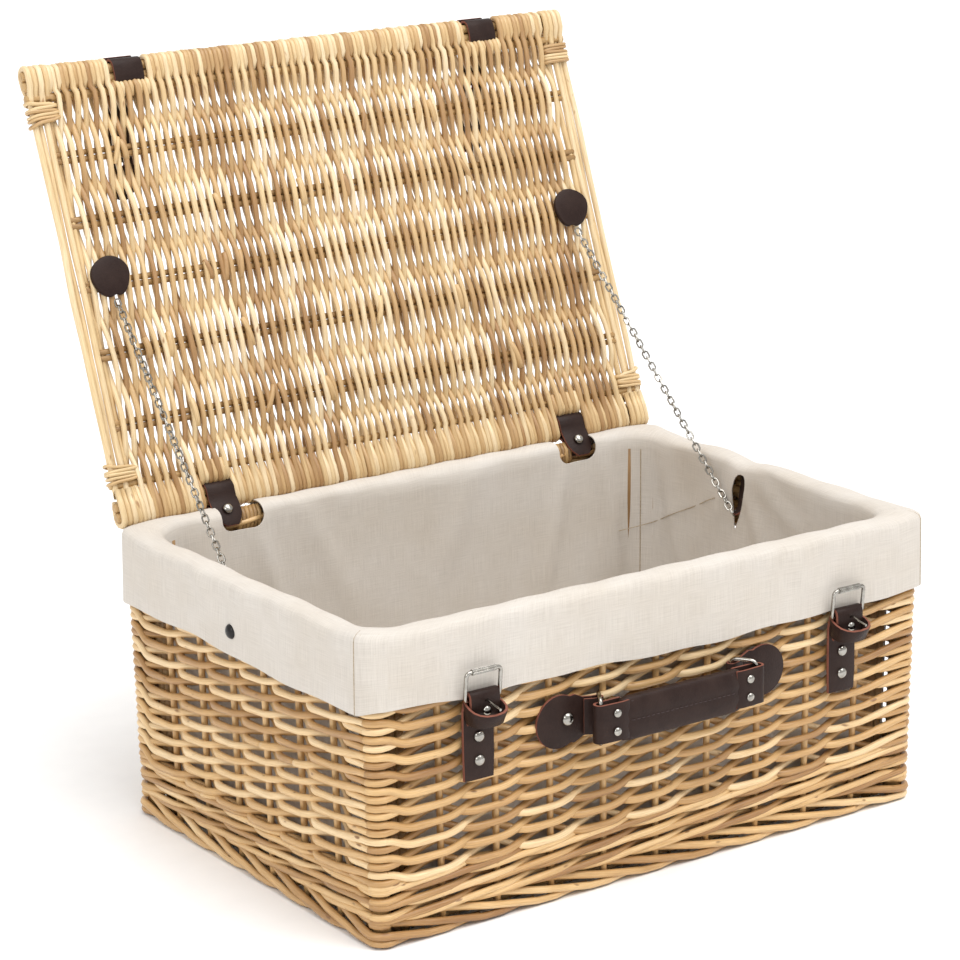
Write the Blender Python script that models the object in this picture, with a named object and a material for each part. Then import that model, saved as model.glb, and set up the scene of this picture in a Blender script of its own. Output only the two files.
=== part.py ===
"""A lined willow hamper, standing with its lid propped open on two side chains.

It has leather hinges, leather closing straps with buckles, and a padded leather
handle on wire rings. Metres, +Z up, front at -Y, origin at the centre of the base.
Each sub-part is an object of its own. Pieces that move keep their origin on their axis.
"""

from math import cos, pi, radians, sin

import bmesh
import bpy
from mathutils import Matrix, Vector

GAP = 0.0003                      # clearance left between neighbours

# Basket: half sizes outside the weave at the ground and at the rim
FOOT_HALF = (0.2530, 0.1730)
RIM_HALF = (0.2575, 0.1742)
FOOT_TOP, WEAVE_TOP, RIM_TOP = 0.0180, 0.2162, 0.2270
WALL = 0.0135                     # stake between two layers of weavers
BASE_THICK = 0.0120
POST_R = 0.0060

# Liner: a bag that folds over the rim as a cuff
CLOTH = 0.0015
CUFF_HALF = (0.2597, 0.1764)
CUFF_BOTTOM, CUFF_TOP = 0.1765, 0.2320
CUFF_TILT = 0.0015                # the cuff stands higher at the front than at the back
BAG_FOOT_HALF = (0.2355, 0.1535)
BAG_RIM_HALF = (0.2405, 0.1580)
BAG_CORNER = 0.0290
NOTCH_HALF, NOTCH_Z = 0.0190, 0.2215
SLIT_Y, SLIT_HALF, SLIT_Z = 0.0280, 0.0045, (0.1700, 0.2250)
SNAP_AT, SNAP_R = (0.2600, 0.0020, 0.1955), 0.0060

# Lid: x across, s up the lid from its hinge axis, n towards its inside
HINGE_Y, HINGE_Z = 0.1785, 0.2395
LID_TILT = radians(20.7)          # how far the open lid leans back
STICK_R, STICK_HALF = 0.0040, 0.2525
FRONT_STICK = 0.3490
LID_HALF_THICK = 0.0060
PANEL_HALF = 0.2360
SIDE_IN, SIDE_OUT, SIDE_HALF_THICK = 0.2387, 0.2552, 0.0060
BINDINGS = {"back": (0.0245, 0.0385), "front": (0.3110, 0.3270)}
BINDING_WALL = 0.0016
HINGE_X = (-0.1660, 0.1760)
CLOSING_X = (-0.1665, 0.1725)

# Leather and wire
LEATHER = 0.0024
HINGE_STRAP = (0.0250, 0.0022)    # width, thickness
LOOP_R = (0.0050, 0.0075)
STRAP_WIDTH, STRAP_LENGTH = 0.0240, 0.1120
STRAP_AXIS = (0.3550, -0.0084)    # s, n of the line that the closing straps bend about
RIVET_R, RIVET_H = 0.0042, 0.0020

# Chains: disc on the lid, pivot below it, and anchor inside the basket's side
DISC_X, DISC_S, DISC_R, DISC_THICK = 0.2220, 0.1850, 0.0165, 0.0030
CHAIN_TOP = (0.1660, 0.0105)      # s, n
CHAIN_ANCHOR = (0.2325, 0.0280, 0.1900)
CHAIN_R, CHAIN_UPPER_SHARE = 0.0022, 0.5590
CHAIN_ASIDE = 0.0047              # the upper length stands this far inwards, to fold past the lower

# Buckles on the front wall
BAR_Z = (0.1750, 0.1695)          # left, right
BAR_Y, BAR_R = -0.1822, 0.0015
FRAME_SIZE, FRAME_LEAN = (0.0292, 0.0270), radians(6)
BUCKLE_LEATHER = 0.0245
PLATE_Y = -0.1755
PRONG_LENGTH = 0.0235

# Handle
HANDLE_Z = 0.1400
TAB_LOOP = (0.0620, -0.1790)      # |x|, y of the rings' inner legs
RING_REACH, RING_X, RING_HEIGHT = 0.0200, 0.0725, 0.0340
TAB_LENGTH, TAB_R = 0.0530, 0.0200
END_X, END_THICK, END_HEIGHT = (0.0530, 0.0800), 0.0088, 0.0290
SLOT_X, SLOT_THICK = (0.0672, 0.0778), 0.0048
GRIP_HALF, GRIP_HEIGHT, GRIP_THICK = 0.0527, 0.0340, 0.0120

WILLOW = (0.60, 0.40, 0.17, 1)
PALE_WILLOW = (0.72, 0.52, 0.27, 1)
BROWN = (0.045, 0.030, 0.028, 1)
NICKEL = (0.75, 0.74, 0.72, 1)
CALICO = (0.78, 0.73, 0.66, 1)

# x across, s up the open lid, n out of its inner face
LID = Matrix.Translation((0, HINGE_Y, HINGE_Z)) @ Matrix(
    (
        (1, 0, 0, 0),
        (0, sin(LID_TILT), -cos(LID_TILT), 0),
        (0, cos(LID_TILT), sin(LID_TILT), 0),
        (0, 0, 0, 1),
    )
)


def clear_scene():
    for obj in list(bpy.data.objects):
        bpy.data.objects.remove(obj, do_unlink=True)


def add(name, bm, color, origin=(0, 0, 0), metallic=0.0, roughness=0.6):
    """Makes the object, with its origin moved to the joint axis it turns about."""
    bmesh.ops.recalc_face_normals(bm, faces=bm.faces)
    bmesh.ops.translate(bm, verts=bm.verts, vec=-Vector(origin))
    mesh = bpy.data.meshes.new(name)
    bm.to_mesh(mesh)
    bm.free()
    material = bpy.data.materials.new(name)
    material.use_nodes = True
    shader = material.node_tree.nodes["Principled BSDF"]
    shader.inputs["Base Color"].default_value = color
    shader.inputs["Metallic"].default_value = metallic
    shader.inputs["Roughness"].default_value = roughness
    mesh.materials.append(material)
    obj = bpy.data.objects.new(name, mesh)
    obj.location = origin
    bpy.context.scene.collection.objects.link(obj)
    return obj


def metal(name, bm, origin=(0, 0, 0)):
    return add(name, bm, NICKEL, origin, metallic=1.0, roughness=0.25)


def skin(rings, wrap=False):
    """Quads between successive rings of points: capped at both ends, or joined up."""
    bm = bmesh.new()
    made = [[bm.verts.new(p) for p in ring] for ring in rings]
    pairs = list(zip(made, made[1:]))
    if wrap:
        pairs.append((made[-1], made[0]))
    for low, high in pairs:
        for i in range(len(low)):
            j = (i + 1) % len(low)
            bm.faces.new((low[i], low[j], high[j], high[i]))
    if not wrap:
        bm.faces.new(list(reversed(made[0])))
        bm.faces.new(made[-1])
    return bm


def rounded(half, radius, z, tilt=0.0, steps=4):
    """A rounded rectangle of points at height z, tilted up towards the front."""
    points = []
    corners = ((1, 1, 0), (-1, 1, 90), (-1, -1, 180), (1, -1, 270))
    for sx, sy, start in corners:
        for i in range(steps + 1):
            a = radians(start + 90 * i / steps)
            x = sx * (half[0] - radius) + radius * cos(a)
            y = sy * (half[1] - radius) + radius * sin(a)
            points.append((x, y, z - tilt * y / half[1]))
    return points


def wall_half(z, inset=0.0):
    """Half sizes of the leaning wall at height z."""
    share = z / RIM_TOP
    return tuple(f + (r - f) * share - inset for f, r in zip(FOOT_HALF, RIM_HALF))


def wall_ring(z0, z1, thick=WALL):
    """A band of the basket's wall from z0 to z1."""
    return skin(
        [
            rounded(wall_half(z0), 0.0120, z0),
            rounded(wall_half(z1), 0.0120, z1),
            rounded(wall_half(z1, thick), 0.0040, z1),
            rounded(wall_half(z0, thick), 0.0040, z0),
        ],
        wrap=True,
    )


def circle(centre, u, v, radius, count):
    return [
        Vector(centre) + radius * (cos(a) * Vector(u) + sin(a) * Vector(v))
        for a in (2 * pi * i / count for i in range(count))
    ]


def rod(a, b, radius, count=10):
    axis = (Vector(b) - Vector(a)).normalized()
    u = axis.orthogonal().normalized()
    v = axis.cross(u)
    return skin([circle(a, u, v, radius, count), circle(b, u, v, radius, count)])


def dome(centre, normal, radius, height, count=12):
    """A rivet or stud head standing on the surface at centre."""
    n = Vector(normal).normalized()
    u = n.orthogonal().normalized()
    v = n.cross(u)
    foot = Vector(centre) + GAP * n
    steps = ((1.0, 0.0), (1.0, 0.30), (0.72, 0.80), (0.25, 1.0))
    return skin([circle(foot + n * height * h, u, v, radius * r, count) for r, h in steps])


def prism(outline, low, high, place):
    """A flat outline of (u, v) pairs raised from low to high, with place(u, v, w)."""
    return skin([[place(u, v, w) for u, v in outline] for w in (low, high)])


def band_outline(path, thickness):
    """The outline of a strip of even thickness that follows a path of (u, v) pairs."""
    left, right = [], []
    for i, point in enumerate(path):
        before = Vector(path[max(i - 1, 0)])
        after = Vector(path[min(i + 1, len(path) - 1)])
        here = Vector(point)
        ways = [(w - v).normalized() for v, w in ((before, here), (here, after)) if w != v]
        along = sum(ways, Vector((0, 0))).normalized()
        across = Vector((-along.y, along.x))
        reach = thickness / 2 / max(0.5, across.dot(Vector((-ways[0].y, ways[0].x))))
        left.append(here + across * reach)
        right.append(here - across * reach)
    return left + right[::-1]


def arc(centre, radius, start, end, steps):
    """Points on a circle between two angles, in degrees."""
    angles = [radians(start + (end - start) * i / steps) for i in range(steps + 1)]
    return [(centre[0] + radius * cos(a), centre[1] + radius * sin(a)) for a in angles]


def side_view(u, v, w):
    return Vector((w, u, v))


def plan_view(u, v, w):
    return Vector((u, v, w))


def on_lid(x, s, n):
    return LID @ Vector((x, s, n))


def wire(points, radius, closed, count=6):
    """A bent wire through the points, mitred at each bend."""
    rings = []
    total = len(points)
    for i, p in enumerate(points):
        before = points[i - 1] if closed or i > 0 else None
        after = points[(i + 1) % total] if closed or i < total - 1 else None
        a = (p - before).normalized() if before is not None else None
        b = (after - p).normalized() if after is not None else None
        along = ((a or b) + (b or a)).normalized()
        side = (a or b).cross(b or a)
        flat = side.normalized() if side.length > 1e-6 else along.orthogonal().normalized()
        rings.append((p, along, flat, along.dot(b or a)))
    normal = next((r[2] for r in rings if r[3] < 0.999), rings[0][2])
    return skin(
        [
            circle(p, normal, along.cross(normal) / max(0.3, lean), radius, count)
            for p, along, _, lean in rings
        ],
        wrap=closed,
    )


def cut(obj, cutters):
    """Takes the cutters away from the object, and removes them."""
    for cutter in cutters:
        change = obj.modifiers.new("cut", "BOOLEAN")
        change.operation, change.solver, change.object = "DIFFERENCE", "EXACT", cutter
    graph = bpy.context.evaluated_depsgraph_get()
    mesh = bpy.data.meshes.new_from_object(obj.evaluated_get(graph))
    obj.modifiers.clear()
    obj.data = mesh
    for cutter in cutters:
        bpy.data.objects.remove(cutter, do_unlink=True)


def cutter_box(low, high):
    outline = [(low[0], low[1]), (high[0], low[1]), (high[0], high[1]), (low[0], high[1])]
    return add("cutter", prism(outline, low[2], high[2], plan_view), BROWN)


def build_basket():
    base_half = wall_half(0, WALL + GAP)
    add("base_weave", skin([rounded(base_half, 0.0040, z) for z in (0, BASE_THICK)]), WILLOW)
    add("foot_border", wall_ring(0, FOOT_TOP), WILLOW)
    add("wall_weave", wall_ring(FOOT_TOP + GAP, WEAVE_TOP), WILLOW)
    add("rim_border", wall_ring(WEAVE_TOP + GAP, RIM_TOP), WILLOW)
    for name, sx, sy in (
        ("front_left", -1, -1), ("front_right", 1, -1), ("back_left", -1, 1), ("back_right", 1, 1)
    ):
        ends = []
        for z in (BASE_THICK + GAP, RIM_TOP - GAP):
            x, y = wall_half(z, WALL + POST_R + GAP)
            ends.append((sx * x, sy * y, z))
        add("corner_post_" + name, rod(*ends, POST_R, 10), WILLOW)


def build_liner():
    under, thin = CUFF_TOP - 0.0020, CLOTH
    inside = tuple(h - thin for h in BAG_FOOT_HALF), tuple(h - thin for h in BAG_RIM_HALF)
    cuff_in = tuple(h - thin for h in CUFF_HALF)
    corner = BAG_CORNER - thin
    floor = BASE_THICK + GAP
    bm = skin(
        [
            rounded(inside[0], corner, floor + thin),
            rounded(inside[1], corner, CUFF_TOP - CLOTH, CUFF_TILT),
            rounded(tuple(h + 0.0030 for h in inside[1]), 0.0270, CUFF_TOP, CUFF_TILT),
            rounded(tuple(h - 0.0030 for h in CUFF_HALF), 0.0150, CUFF_TOP, CUFF_TILT),
            rounded(CUFF_HALF, 0.0140, CUFF_TOP - CLOTH, CUFF_TILT),
            rounded(CUFF_HALF, 0.0140, CUFF_BOTTOM),
            rounded(cuff_in, 0.0125, CUFF_BOTTOM),
            rounded(cuff_in, 0.0125, under, CUFF_TILT),
            rounded(BAG_RIM_HALF, BAG_CORNER, under, CUFF_TILT),
            rounded(BAG_FOOT_HALF, BAG_CORNER, floor),
        ]
    )
    liner = add("liner", bm, CALICO, roughness=0.9)
    cutters = [
        cutter_box((x - NOTCH_HALF, 0.1450, NOTCH_Z), (x + NOTCH_HALF, 0.1850, 0.2500))
        for x in HINGE_X
    ]
    for low, high in ((-0.2500, -0.2300), (0.2300, 0.2500)):
        cutters.append(
            cutter_box((low, SLIT_Y - SLIT_HALF, SLIT_Z[0]), (high, SLIT_Y + SLIT_HALF, SLIT_Z[1]))
        )
    cut(liner, cutters)
    for name, side in (("left", -1), ("right", 1)):
        x, y, z = SNAP_AT
        metal("snap_" + name, dome((side * x, y, z), (side, 0, 0), SNAP_R, 0.0025))


def build_chain_anchors():
    y0, y1 = SLIT_Y - 0.0030, SLIT_Y + 0.0030
    for name, side in (("left", -1), ("right", 1)):
        path = [(0.2417, 0.2140), (0.2417, 0.1945), (0.2400, 0.1910), (0.2362, 0.1900)]
        outline = band_outline([(side * x, z) for x, z in path], 0.0016)
        bm = prism(outline, y0, y1, lambda x, z, y: Vector((x, y, z)))
        add("chain_anchor_" + name, bm, BROWN)


def build_hinge_straps():
    width, thick = HINGE_STRAP
    eye = (HINGE_Y, HINGE_Z)
    bend = (RIM_HALF[1] - WALL - 0.0015, 0.2312)
    reach = STICK_R + GAP + thick / 2
    wrap = arc(eye, reach, 118, -205, 9)
    path = [(bend[0], NOTCH_Z + 0.0010), bend] + wrap
    start = Vector(bend)
    way = (Vector(wrap[0]) - start).normalized()
    across = Vector((-way.y, way.x))
    head = start + (Vector(wrap[0]) - start) * 0.5 + across * thick / 2
    for name, x in zip(("left", "right"), HINGE_X):
        bm = prism(band_outline(path, thick), x - width / 2, x + width / 2, side_view)
        add("hinge_strap_" + name, bm, BROWN)
        bm = dome((x, head.x, head.y), (0, across.x, across.y), RIVET_R, RIVET_H)
        metal("hinge_rivet_" + name, bm)


def build_buckles():
    width, r = BUCKLE_LEATHER, BAR_R + 0.0004 + LEATHER / 2
    for name, x, z in zip(("left", "right"), CLOSING_X, BAR_Z):
        bar = (BAR_Y, z)
        path = [(PLATE_Y, z - 0.0620), (PLATE_Y, z - 0.0085)]
        path += arc(bar, r, 20, 180, 8) + [(BAR_Y - r, z - 0.0140)]
        bm = prism(band_outline(path, LEATHER), x - width / 2, x + width / 2, side_view)
        strap = add("buckle_strap_" + name, bm, BROWN)
        cut(strap, [cutter_box((x - 0.0035, -0.1900, z - 0.0060), (x + 0.0035, -0.1775, z + 0.0060))])
        face = PLATE_Y - LEATHER / 2
        for place, drop in (("top", 0.0295), ("bottom", 0.0475)):
            bm = dome((x, face, z - drop), (0, -1, 0), RIVET_R, RIVET_H)
            metal(f"buckle_rivet_{place}_{name}", bm)
        build_keeper(name, x, z)
        build_frame(name, x, z)
        build_prong(name, x, z)


def build_keeper(name, x, z):
    """The leather loop in front of the buckle that holds the closing strap's end."""
    back = BAR_Y - BAR_R - 0.0004 - LEATHER - GAP
    front, side = back - 0.0120, 0.0145
    outer = [(-side, back), (-side, front + 0.004), (-side + 0.005, front),
             (side - 0.005, front), (side, front + 0.004), (side, back)]
    inner = [(-side + 0.002, back - 0.002), (-side + 0.002, front + 0.005),
             (-side + 0.006, front + 0.002), (side - 0.006, front + 0.002),
             (side - 0.002, front + 0.005), (side - 0.002, back - 0.002)]
    low, high = z - 0.0170, z - 0.0016
    rings = [[(x + u, v, w) for u, v in loop]
             for loop, w in ((outer, low), (outer, high), (inner, high), (inner, low))]
    add("keeper_" + name, skin(rings, wrap=True), BROWN)


def build_frame(name, x, z):
    half, tall = FRAME_SIZE[0] / 2, FRAME_SIZE[1]
    up = Vector((0, -sin(FRAME_LEAN), cos(FRAME_LEAN)))
    across, low = Vector((1, 0, 0)), Vector((x, BAR_Y, z))
    r = 0.0020
    corners = [
        low - across * half + up * r, low - across * (half - r), low + across * (half - r),
        low + across * half + up * r, low + across * half + up * (tall - r),
        low + across * (half - r) + up * tall, low - across * (half - r) + up * tall,
        low - across * half + up * (tall - r),
    ]
    metal("buckle_frame_" + name, wire(corners, BAR_R, True), low)


def build_prong(name, x, z):
    """A wire with its eye round the frame's bar, lying forwards on the keeper."""
    r = BAR_R + GAP + 0.0010
    bend = arc((BAR_Y, z), r, -60, 200, 8)
    tip = (BAR_Y - PRONG_LENGTH, z + 0.0004)
    points = [Vector((x, u, v)) for u, v in bend + [(BAR_Y - r - 0.0030, z - 0.0002), tip]]
    metal("buckle_prong_" + name, wire(points, 0.0009, False), (x, BAR_Y, z))


def ring_leg():
    """Where the ring's outer leg stands: |x|, y."""
    rise = (RING_REACH**2 - (RING_X - TAB_LOOP[0]) ** 2) ** 0.5
    return RING_X, TAB_LOOP[1] - rise


def build_handle():
    leg = ring_leg()
    z0, z1 = HANDLE_Z - END_HEIGHT / 2, HANDLE_Z + END_HEIGHT / 2
    y0, y1 = leg[1] - END_THICK / 2, leg[1] + END_THICK / 2
    for name, side in (("left", -1), ("right", 1)):
        build_tab(name, side)
        outline = [(side * END_X[0], y0), (side * (END_X[1] - 0.003), y0),
                   (side * END_X[1], y0 + 0.003), (side * END_X[1], y1 - 0.003),
                   (side * (END_X[1] - 0.003), y1), (side * END_X[0], y1)]
        near, far = leg[1] - SLOT_THICK / 2, leg[1] + SLOT_THICK / 2
        slot = [(side * SLOT_X[0], near), (side * SLOT_X[1], near),
                (side * SLOT_X[1], far), (side * SLOT_X[0], far)]
        end = add("handle_end_" + name, prism(outline, z0, z1, plan_view), BROWN)
        hole = add("cutter", prism(slot, z0 - 0.01, z1 + 0.01, plan_view), BROWN)
        cut(end, [hole])
        points = []
        for w, (p, q) in ((-0.5, (TAB_LOOP, leg)), (0.5, (leg, TAB_LOOP))):
            for x, y in (p, q):
                points.append(Vector((side * x, y, HANDLE_Z + w * RING_HEIGHT)))
        pivot = (side * TAB_LOOP[0], TAB_LOOP[1], HANDLE_Z)
        metal("handle_ring_" + name, wire(points, 0.0015, True), pivot)
    sections = []
    for x, shrink in ((-1, 0.80), (-0.93, 1.0), (0.93, 1.0), (1, 0.80)):
        h, t = GRIP_HEIGHT / 2 * shrink, GRIP_THICK / 2 * shrink
        shape = ((-1, -0.4), (-1, 0.4), (-0.6, 0.85), (0, 1), (0.6, 0.85), (1, 0.4),
                 (1, -0.4), (0.6, -0.85), (0, -1), (-0.6, -0.85))
        middle = HANDLE_Z - 0.0015
        sections.append([(x * GRIP_HALF, leg[1] + t * v, middle + h * u) for u, v in shape])
    add("handle_grip", skin(sections), BROWN)


def build_tab(name, side):
    """A leather patch riveted to the front wall, with a sleeve for the ring's leg."""
    x0, y0 = TAB_LOOP
    half = 0.0140
    far = x0 + TAB_LENGTH - TAB_R
    outline = [(x0 + 0.0043, -half), (far - 0.014, -TAB_R * 0.80)]
    outline += [(far + TAB_R * cos(a), TAB_R * sin(a)) for a in
                (radians(-60 + 120 * i / 8) for i in range(9))]
    outline += [(far - 0.014, TAB_R * 0.80), (x0 + 0.0043, half)]
    back = -0.1742
    bm = prism(outline, back, back - LEATHER, lambda u, v, w: Vector((side * u, w, HANDLE_Z + v)))
    add("handle_tab_" + name, bm, BROWN)
    reach = 0.0015 + 0.0004
    profile = ((reach + 0.0020, -half), (reach + 0.0020, half), (reach, half), (reach, -half))
    loop = [circle((side * x0, y0, HANDLE_Z + z), (1, 0, 0), (0, 1, 0), r, 10)
            for r, z in profile]
    add("handle_sleeve_" + name, skin(loop, wrap=True), BROWN)
    head = (side * (far - 0.006), back - LEATHER, HANDLE_Z)
    metal("handle_rivet_" + name, dome(head, (0, -1, 0), RIVET_R + 0.0006, RIVET_H))


def panel_outline():
    """The lid's woven field, notched for the hinge straps and the closing straps."""
    s0, s1 = STICK_R + GAP, FRONT_STICK - STICK_R - GAP
    points = [(-PANEL_HALF, s0)]
    for x in HINGE_X:
        points += [(x - 0.0165, s0), (x - 0.0165, 0.0270), (x + 0.0165, 0.0270), (x + 0.0165, s0)]
    points += [(PANEL_HALF, s0), (PANEL_HALF, s1)]
    for x in reversed(CLOSING_X):
        points += [(x + 0.0145, s1), (x + 0.0145, 0.3365), (x - 0.0145, 0.3365), (x - 0.0145, s1)]
    return points + [(-PANEL_HALF, s1)]


def build_lid():
    axis = (0, HINGE_Y, HINGE_Z)
    t = LID_HALF_THICK
    add("lid_panel", prism(panel_outline(), -t, t, on_lid), PALE_WILLOW, axis)
    for name, s in (("back", 0.0), ("front", FRONT_STICK)):
        bm = rod(on_lid(-STICK_HALF, s, 0), on_lid(STICK_HALF, s, 0), STICK_R, 12)
        add(f"lid_{name}_stick", bm, PALE_WILLOW, axis)
    for name, side in (("left", -1), ("right", 1)):
        lo, hi, n, c = SIDE_IN, SIDE_OUT, SIDE_HALF_THICK, 0.003
        shape = [(lo + c, -n), (hi - c, -n), (hi, c - n), (hi, n - c), (hi - c, n), (lo + c, n),
                 (lo, n - c), (lo, c - n)]
        ends = (STICK_R + GAP, FRONT_STICK - STICK_R - GAP)
        bm = skin([[on_lid(side * x, s, v) for x, v in shape] for s in ends])
        add("lid_side_" + name, bm, PALE_WILLOW, axis)
        for place, (s0, s1) in BINDINGS.items():
            build_binding(f"binding_{place}_{name}", side, s0, s1, axis)
        disc = [circle((side * DISC_X, DISC_S, w), (1, 0, 0), (0, 1, 0), DISC_R, 20)
                for w in (t + GAP, t + DISC_THICK)]
        add("chain_disc_" + name, skin([[LID @ p for p in ring] for ring in disc]), BROWN, axis)


def build_binding(name, side, s0, s1, axis):
    """Willow wrapped round the lid's side bundle near a corner."""
    lo, hi, n = SIDE_IN - GAP, SIDE_OUT + GAP, SIDE_HALF_THICK + GAP
    w = BINDING_WALL

    def box(grow):
        near, far, deep = lo - grow, hi + grow, n + grow
        return [(near, -deep), (far, -deep), (far, deep), (near, deep)]

    loops = ((box(w), s0), (box(w), s1), (box(0), s1), (box(0), s0))
    rings = [[on_lid(side * x, s, v) for x, v in loop] for loop, s in loops]
    add(name, skin(rings, wrap=True), PALE_WILLOW, axis)


def build_closing_straps():
    axis_y, axis_z = on_lid(0, *STRAP_AXIS).yz
    for name, x in zip(("left", "right"), CLOSING_X):
        loop = [circle((0, FRONT_STICK, 0), (0, 1, 0), (0, 0, 1), r, 12) for r in LOOP_R[::-1]]
        a, b = x - 0.0125, x + 0.0125
        rings = [[on_lid(w, p.y, p.z) for p in ring]
                 for ring, w in ((loop[0], a), (loop[0], b), (loop[1], b), (loop[1], a))]
        add("strap_loop_" + name, skin(rings, wrap=True), BROWN, (0, HINGE_Y, HINGE_Z))
        half, end = STRAP_WIDTH / 2, axis_z - STRAP_LENGTH
        outline = [(x - half, axis_z), (x + half, axis_z), (x + half, end + 0.010),
                   (x + half * 0.5, end), (x - half * 0.5, end), (x - half, end + 0.010)]
        y0, y1 = axis_y - LEATHER / 2, axis_y + LEATHER / 2
        bm = prism(outline, y0, y1, lambda u, v, w: Vector((u, w, v)))
        strap = add("closing_strap_" + name, bm, BROWN, (x, axis_y, axis_z))
        holes = []
        for rise in (0.016, 0.030, 0.044):
            z = end + rise
            hole = rod((x, axis_y - 0.01, z), (x, axis_y + 0.01, z), 0.0018, 8)
            holes.append(add("cutter", hole, BROWN))
        cut(strap, holes)


def build_chains():
    """Each chain as two straight lengths, hung from the lid and meeting at a pivot."""
    for name, side in (("left", -1), ("right", 1)):
        top = on_lid(side * DISC_X, *CHAIN_TOP)
        foot = Vector((side * CHAIN_ANCHOR[0], *CHAIN_ANCHOR[1:]))
        middle = top.lerp(foot, CHAIN_UPPER_SHARE)
        way = (foot - top).normalized()
        aside = Vector((-side * CHAIN_ASIDE, 0, 0))
        bm = rod(top + way * 0.0030 + aside, middle + aside, CHAIN_R, 8)
        metal("chain_upper_" + name, bm, top)
        bm = rod(middle, foot - way * 0.0010, CHAIN_R, 8)
        metal("chain_lower_" + name, bm, middle)


def main():
    clear_scene()
    build_basket()
    build_liner()
    build_chain_anchors()
    build_hinge_straps()
    build_buckles()
    build_handle()
    build_lid()
    build_closing_straps()
    build_chains()


main()
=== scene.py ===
# %% [markdown]
# # A lined willow hamper
# This lesson builds the looks of a lidded willow hamper around a CAD model that is
# already in place. The CAD model gives the sizes, the bodies that move and their joints.
# Here each part gets its real shape: woven rods, sewn calico, stitched leather and
# bent wire. Everything is in metres, +Z is up and the front wall faces -Y.

# %% Load the frame
from math import cos, pi, radians, sin, sqrt

import bmesh
import bpy
import numpy as np
from mathutils import Matrix, Vector


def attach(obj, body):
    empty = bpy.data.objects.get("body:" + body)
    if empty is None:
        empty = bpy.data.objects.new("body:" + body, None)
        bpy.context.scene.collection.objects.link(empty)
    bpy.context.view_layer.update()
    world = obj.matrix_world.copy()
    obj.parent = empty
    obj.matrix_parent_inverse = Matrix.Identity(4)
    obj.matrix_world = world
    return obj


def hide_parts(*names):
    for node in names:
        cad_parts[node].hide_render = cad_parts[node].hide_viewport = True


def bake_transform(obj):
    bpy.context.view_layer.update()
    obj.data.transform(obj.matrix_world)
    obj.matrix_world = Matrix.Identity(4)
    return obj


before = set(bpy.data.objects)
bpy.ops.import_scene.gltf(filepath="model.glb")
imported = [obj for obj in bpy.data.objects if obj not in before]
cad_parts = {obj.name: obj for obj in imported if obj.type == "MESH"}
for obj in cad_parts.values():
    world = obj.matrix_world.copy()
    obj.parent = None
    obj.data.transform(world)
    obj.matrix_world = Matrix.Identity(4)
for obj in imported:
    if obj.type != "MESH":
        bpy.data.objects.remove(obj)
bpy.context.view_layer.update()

# %% [markdown]
# ## Camera, floor and light
# A product like this is shown on a pale floor with large soft lights, so that the rods
# keep gentle highlights. The camera stands to the front left, a little above, with a
# long lens. Its turn is built from three directions: back, right and up.

# %% Camera
LENS, SHIFT = 123.94, -0.0265
turn, rise, roll = radians(-35.18), radians(15.70), radians(-0.69)
back = Vector((sin(turn) * cos(rise), -cos(turn) * cos(rise), sin(rise)))
right = Vector((cos(turn), sin(turn), 0))
upward = back.cross(right)
right, upward = (right * cos(roll) + upward * sin(roll), upward * cos(roll) - right * sin(roll))
camera = bpy.data.objects.new("camera", bpy.data.cameras.new("camera"))
bpy.context.scene.collection.objects.link(camera)
camera.data.lens, camera.data.sensor_width, camera.data.shift_x = LENS, 36, SHIFT
camera.data.clip_end = 50
camera.matrix_world = Matrix.Translation((-1.4204, -1.9927, 0.9539)) @ Matrix(
    (right, upward, back)).transposed().to_4x4()
bpy.context.scene.camera = camera
print("camera at", tuple(round(v, 3) for v in camera.location))


# %% Helpers for operators
def nothing_selected():
    """Leaves edit mode and deselects all, so that an operator acts only on what is new."""
    if bpy.context.object and bpy.context.object.mode != "OBJECT":
        bpy.ops.object.mode_set(mode="OBJECT")
    bpy.ops.object.select_all(action="DESELECT")


def only(obj):
    """Selects one object and makes it active."""
    nothing_selected()
    obj.select_set(True)
    bpy.context.view_layer.objects.active = obj
    return obj


def new_piece(name):
    """Names the primitive that an operator has just added."""
    obj = bpy.context.object
    obj.name = obj.data.name = name
    return obj


def settle(obj):
    """Moves the object's place into its mesh, so that the object sits at the origin."""
    only(obj)
    bpy.ops.object.transform_apply(location=True, rotation=True, scale=True)
    return obj


def modify(obj, kind, **values):
    """Adds a modifier, sets its values and applies it."""
    only(obj)
    change = obj.modifiers.new(kind.lower(), kind)
    for key, value in values.items():
        setattr(change, key, value)
    bpy.ops.object.modifier_apply(modifier=change.name)
    return obj


def smooth(obj, angle=35):
    only(obj)
    bpy.ops.object.shade_smooth_by_angle(angle=radians(angle))
    return obj


# %% Floor and lights
nothing_selected()
bpy.ops.mesh.primitive_plane_add(size=14)
floor = new_piece("floor")
settle(floor)


def soft_light(name, place, aim, size, power):
    """A large square lamp at a place, turned towards a point."""
    lamp = bpy.data.lights.new(name, "AREA")
    lamp.energy, lamp.size = power, size
    obj = bpy.data.objects.new(name, lamp)
    bpy.context.scene.collection.objects.link(obj)
    obj.matrix_world = Matrix.Translation(place) @ (
        Vector(place) - Vector(aim)).to_track_quat("Z", "Y").to_matrix().to_4x4()


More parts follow.
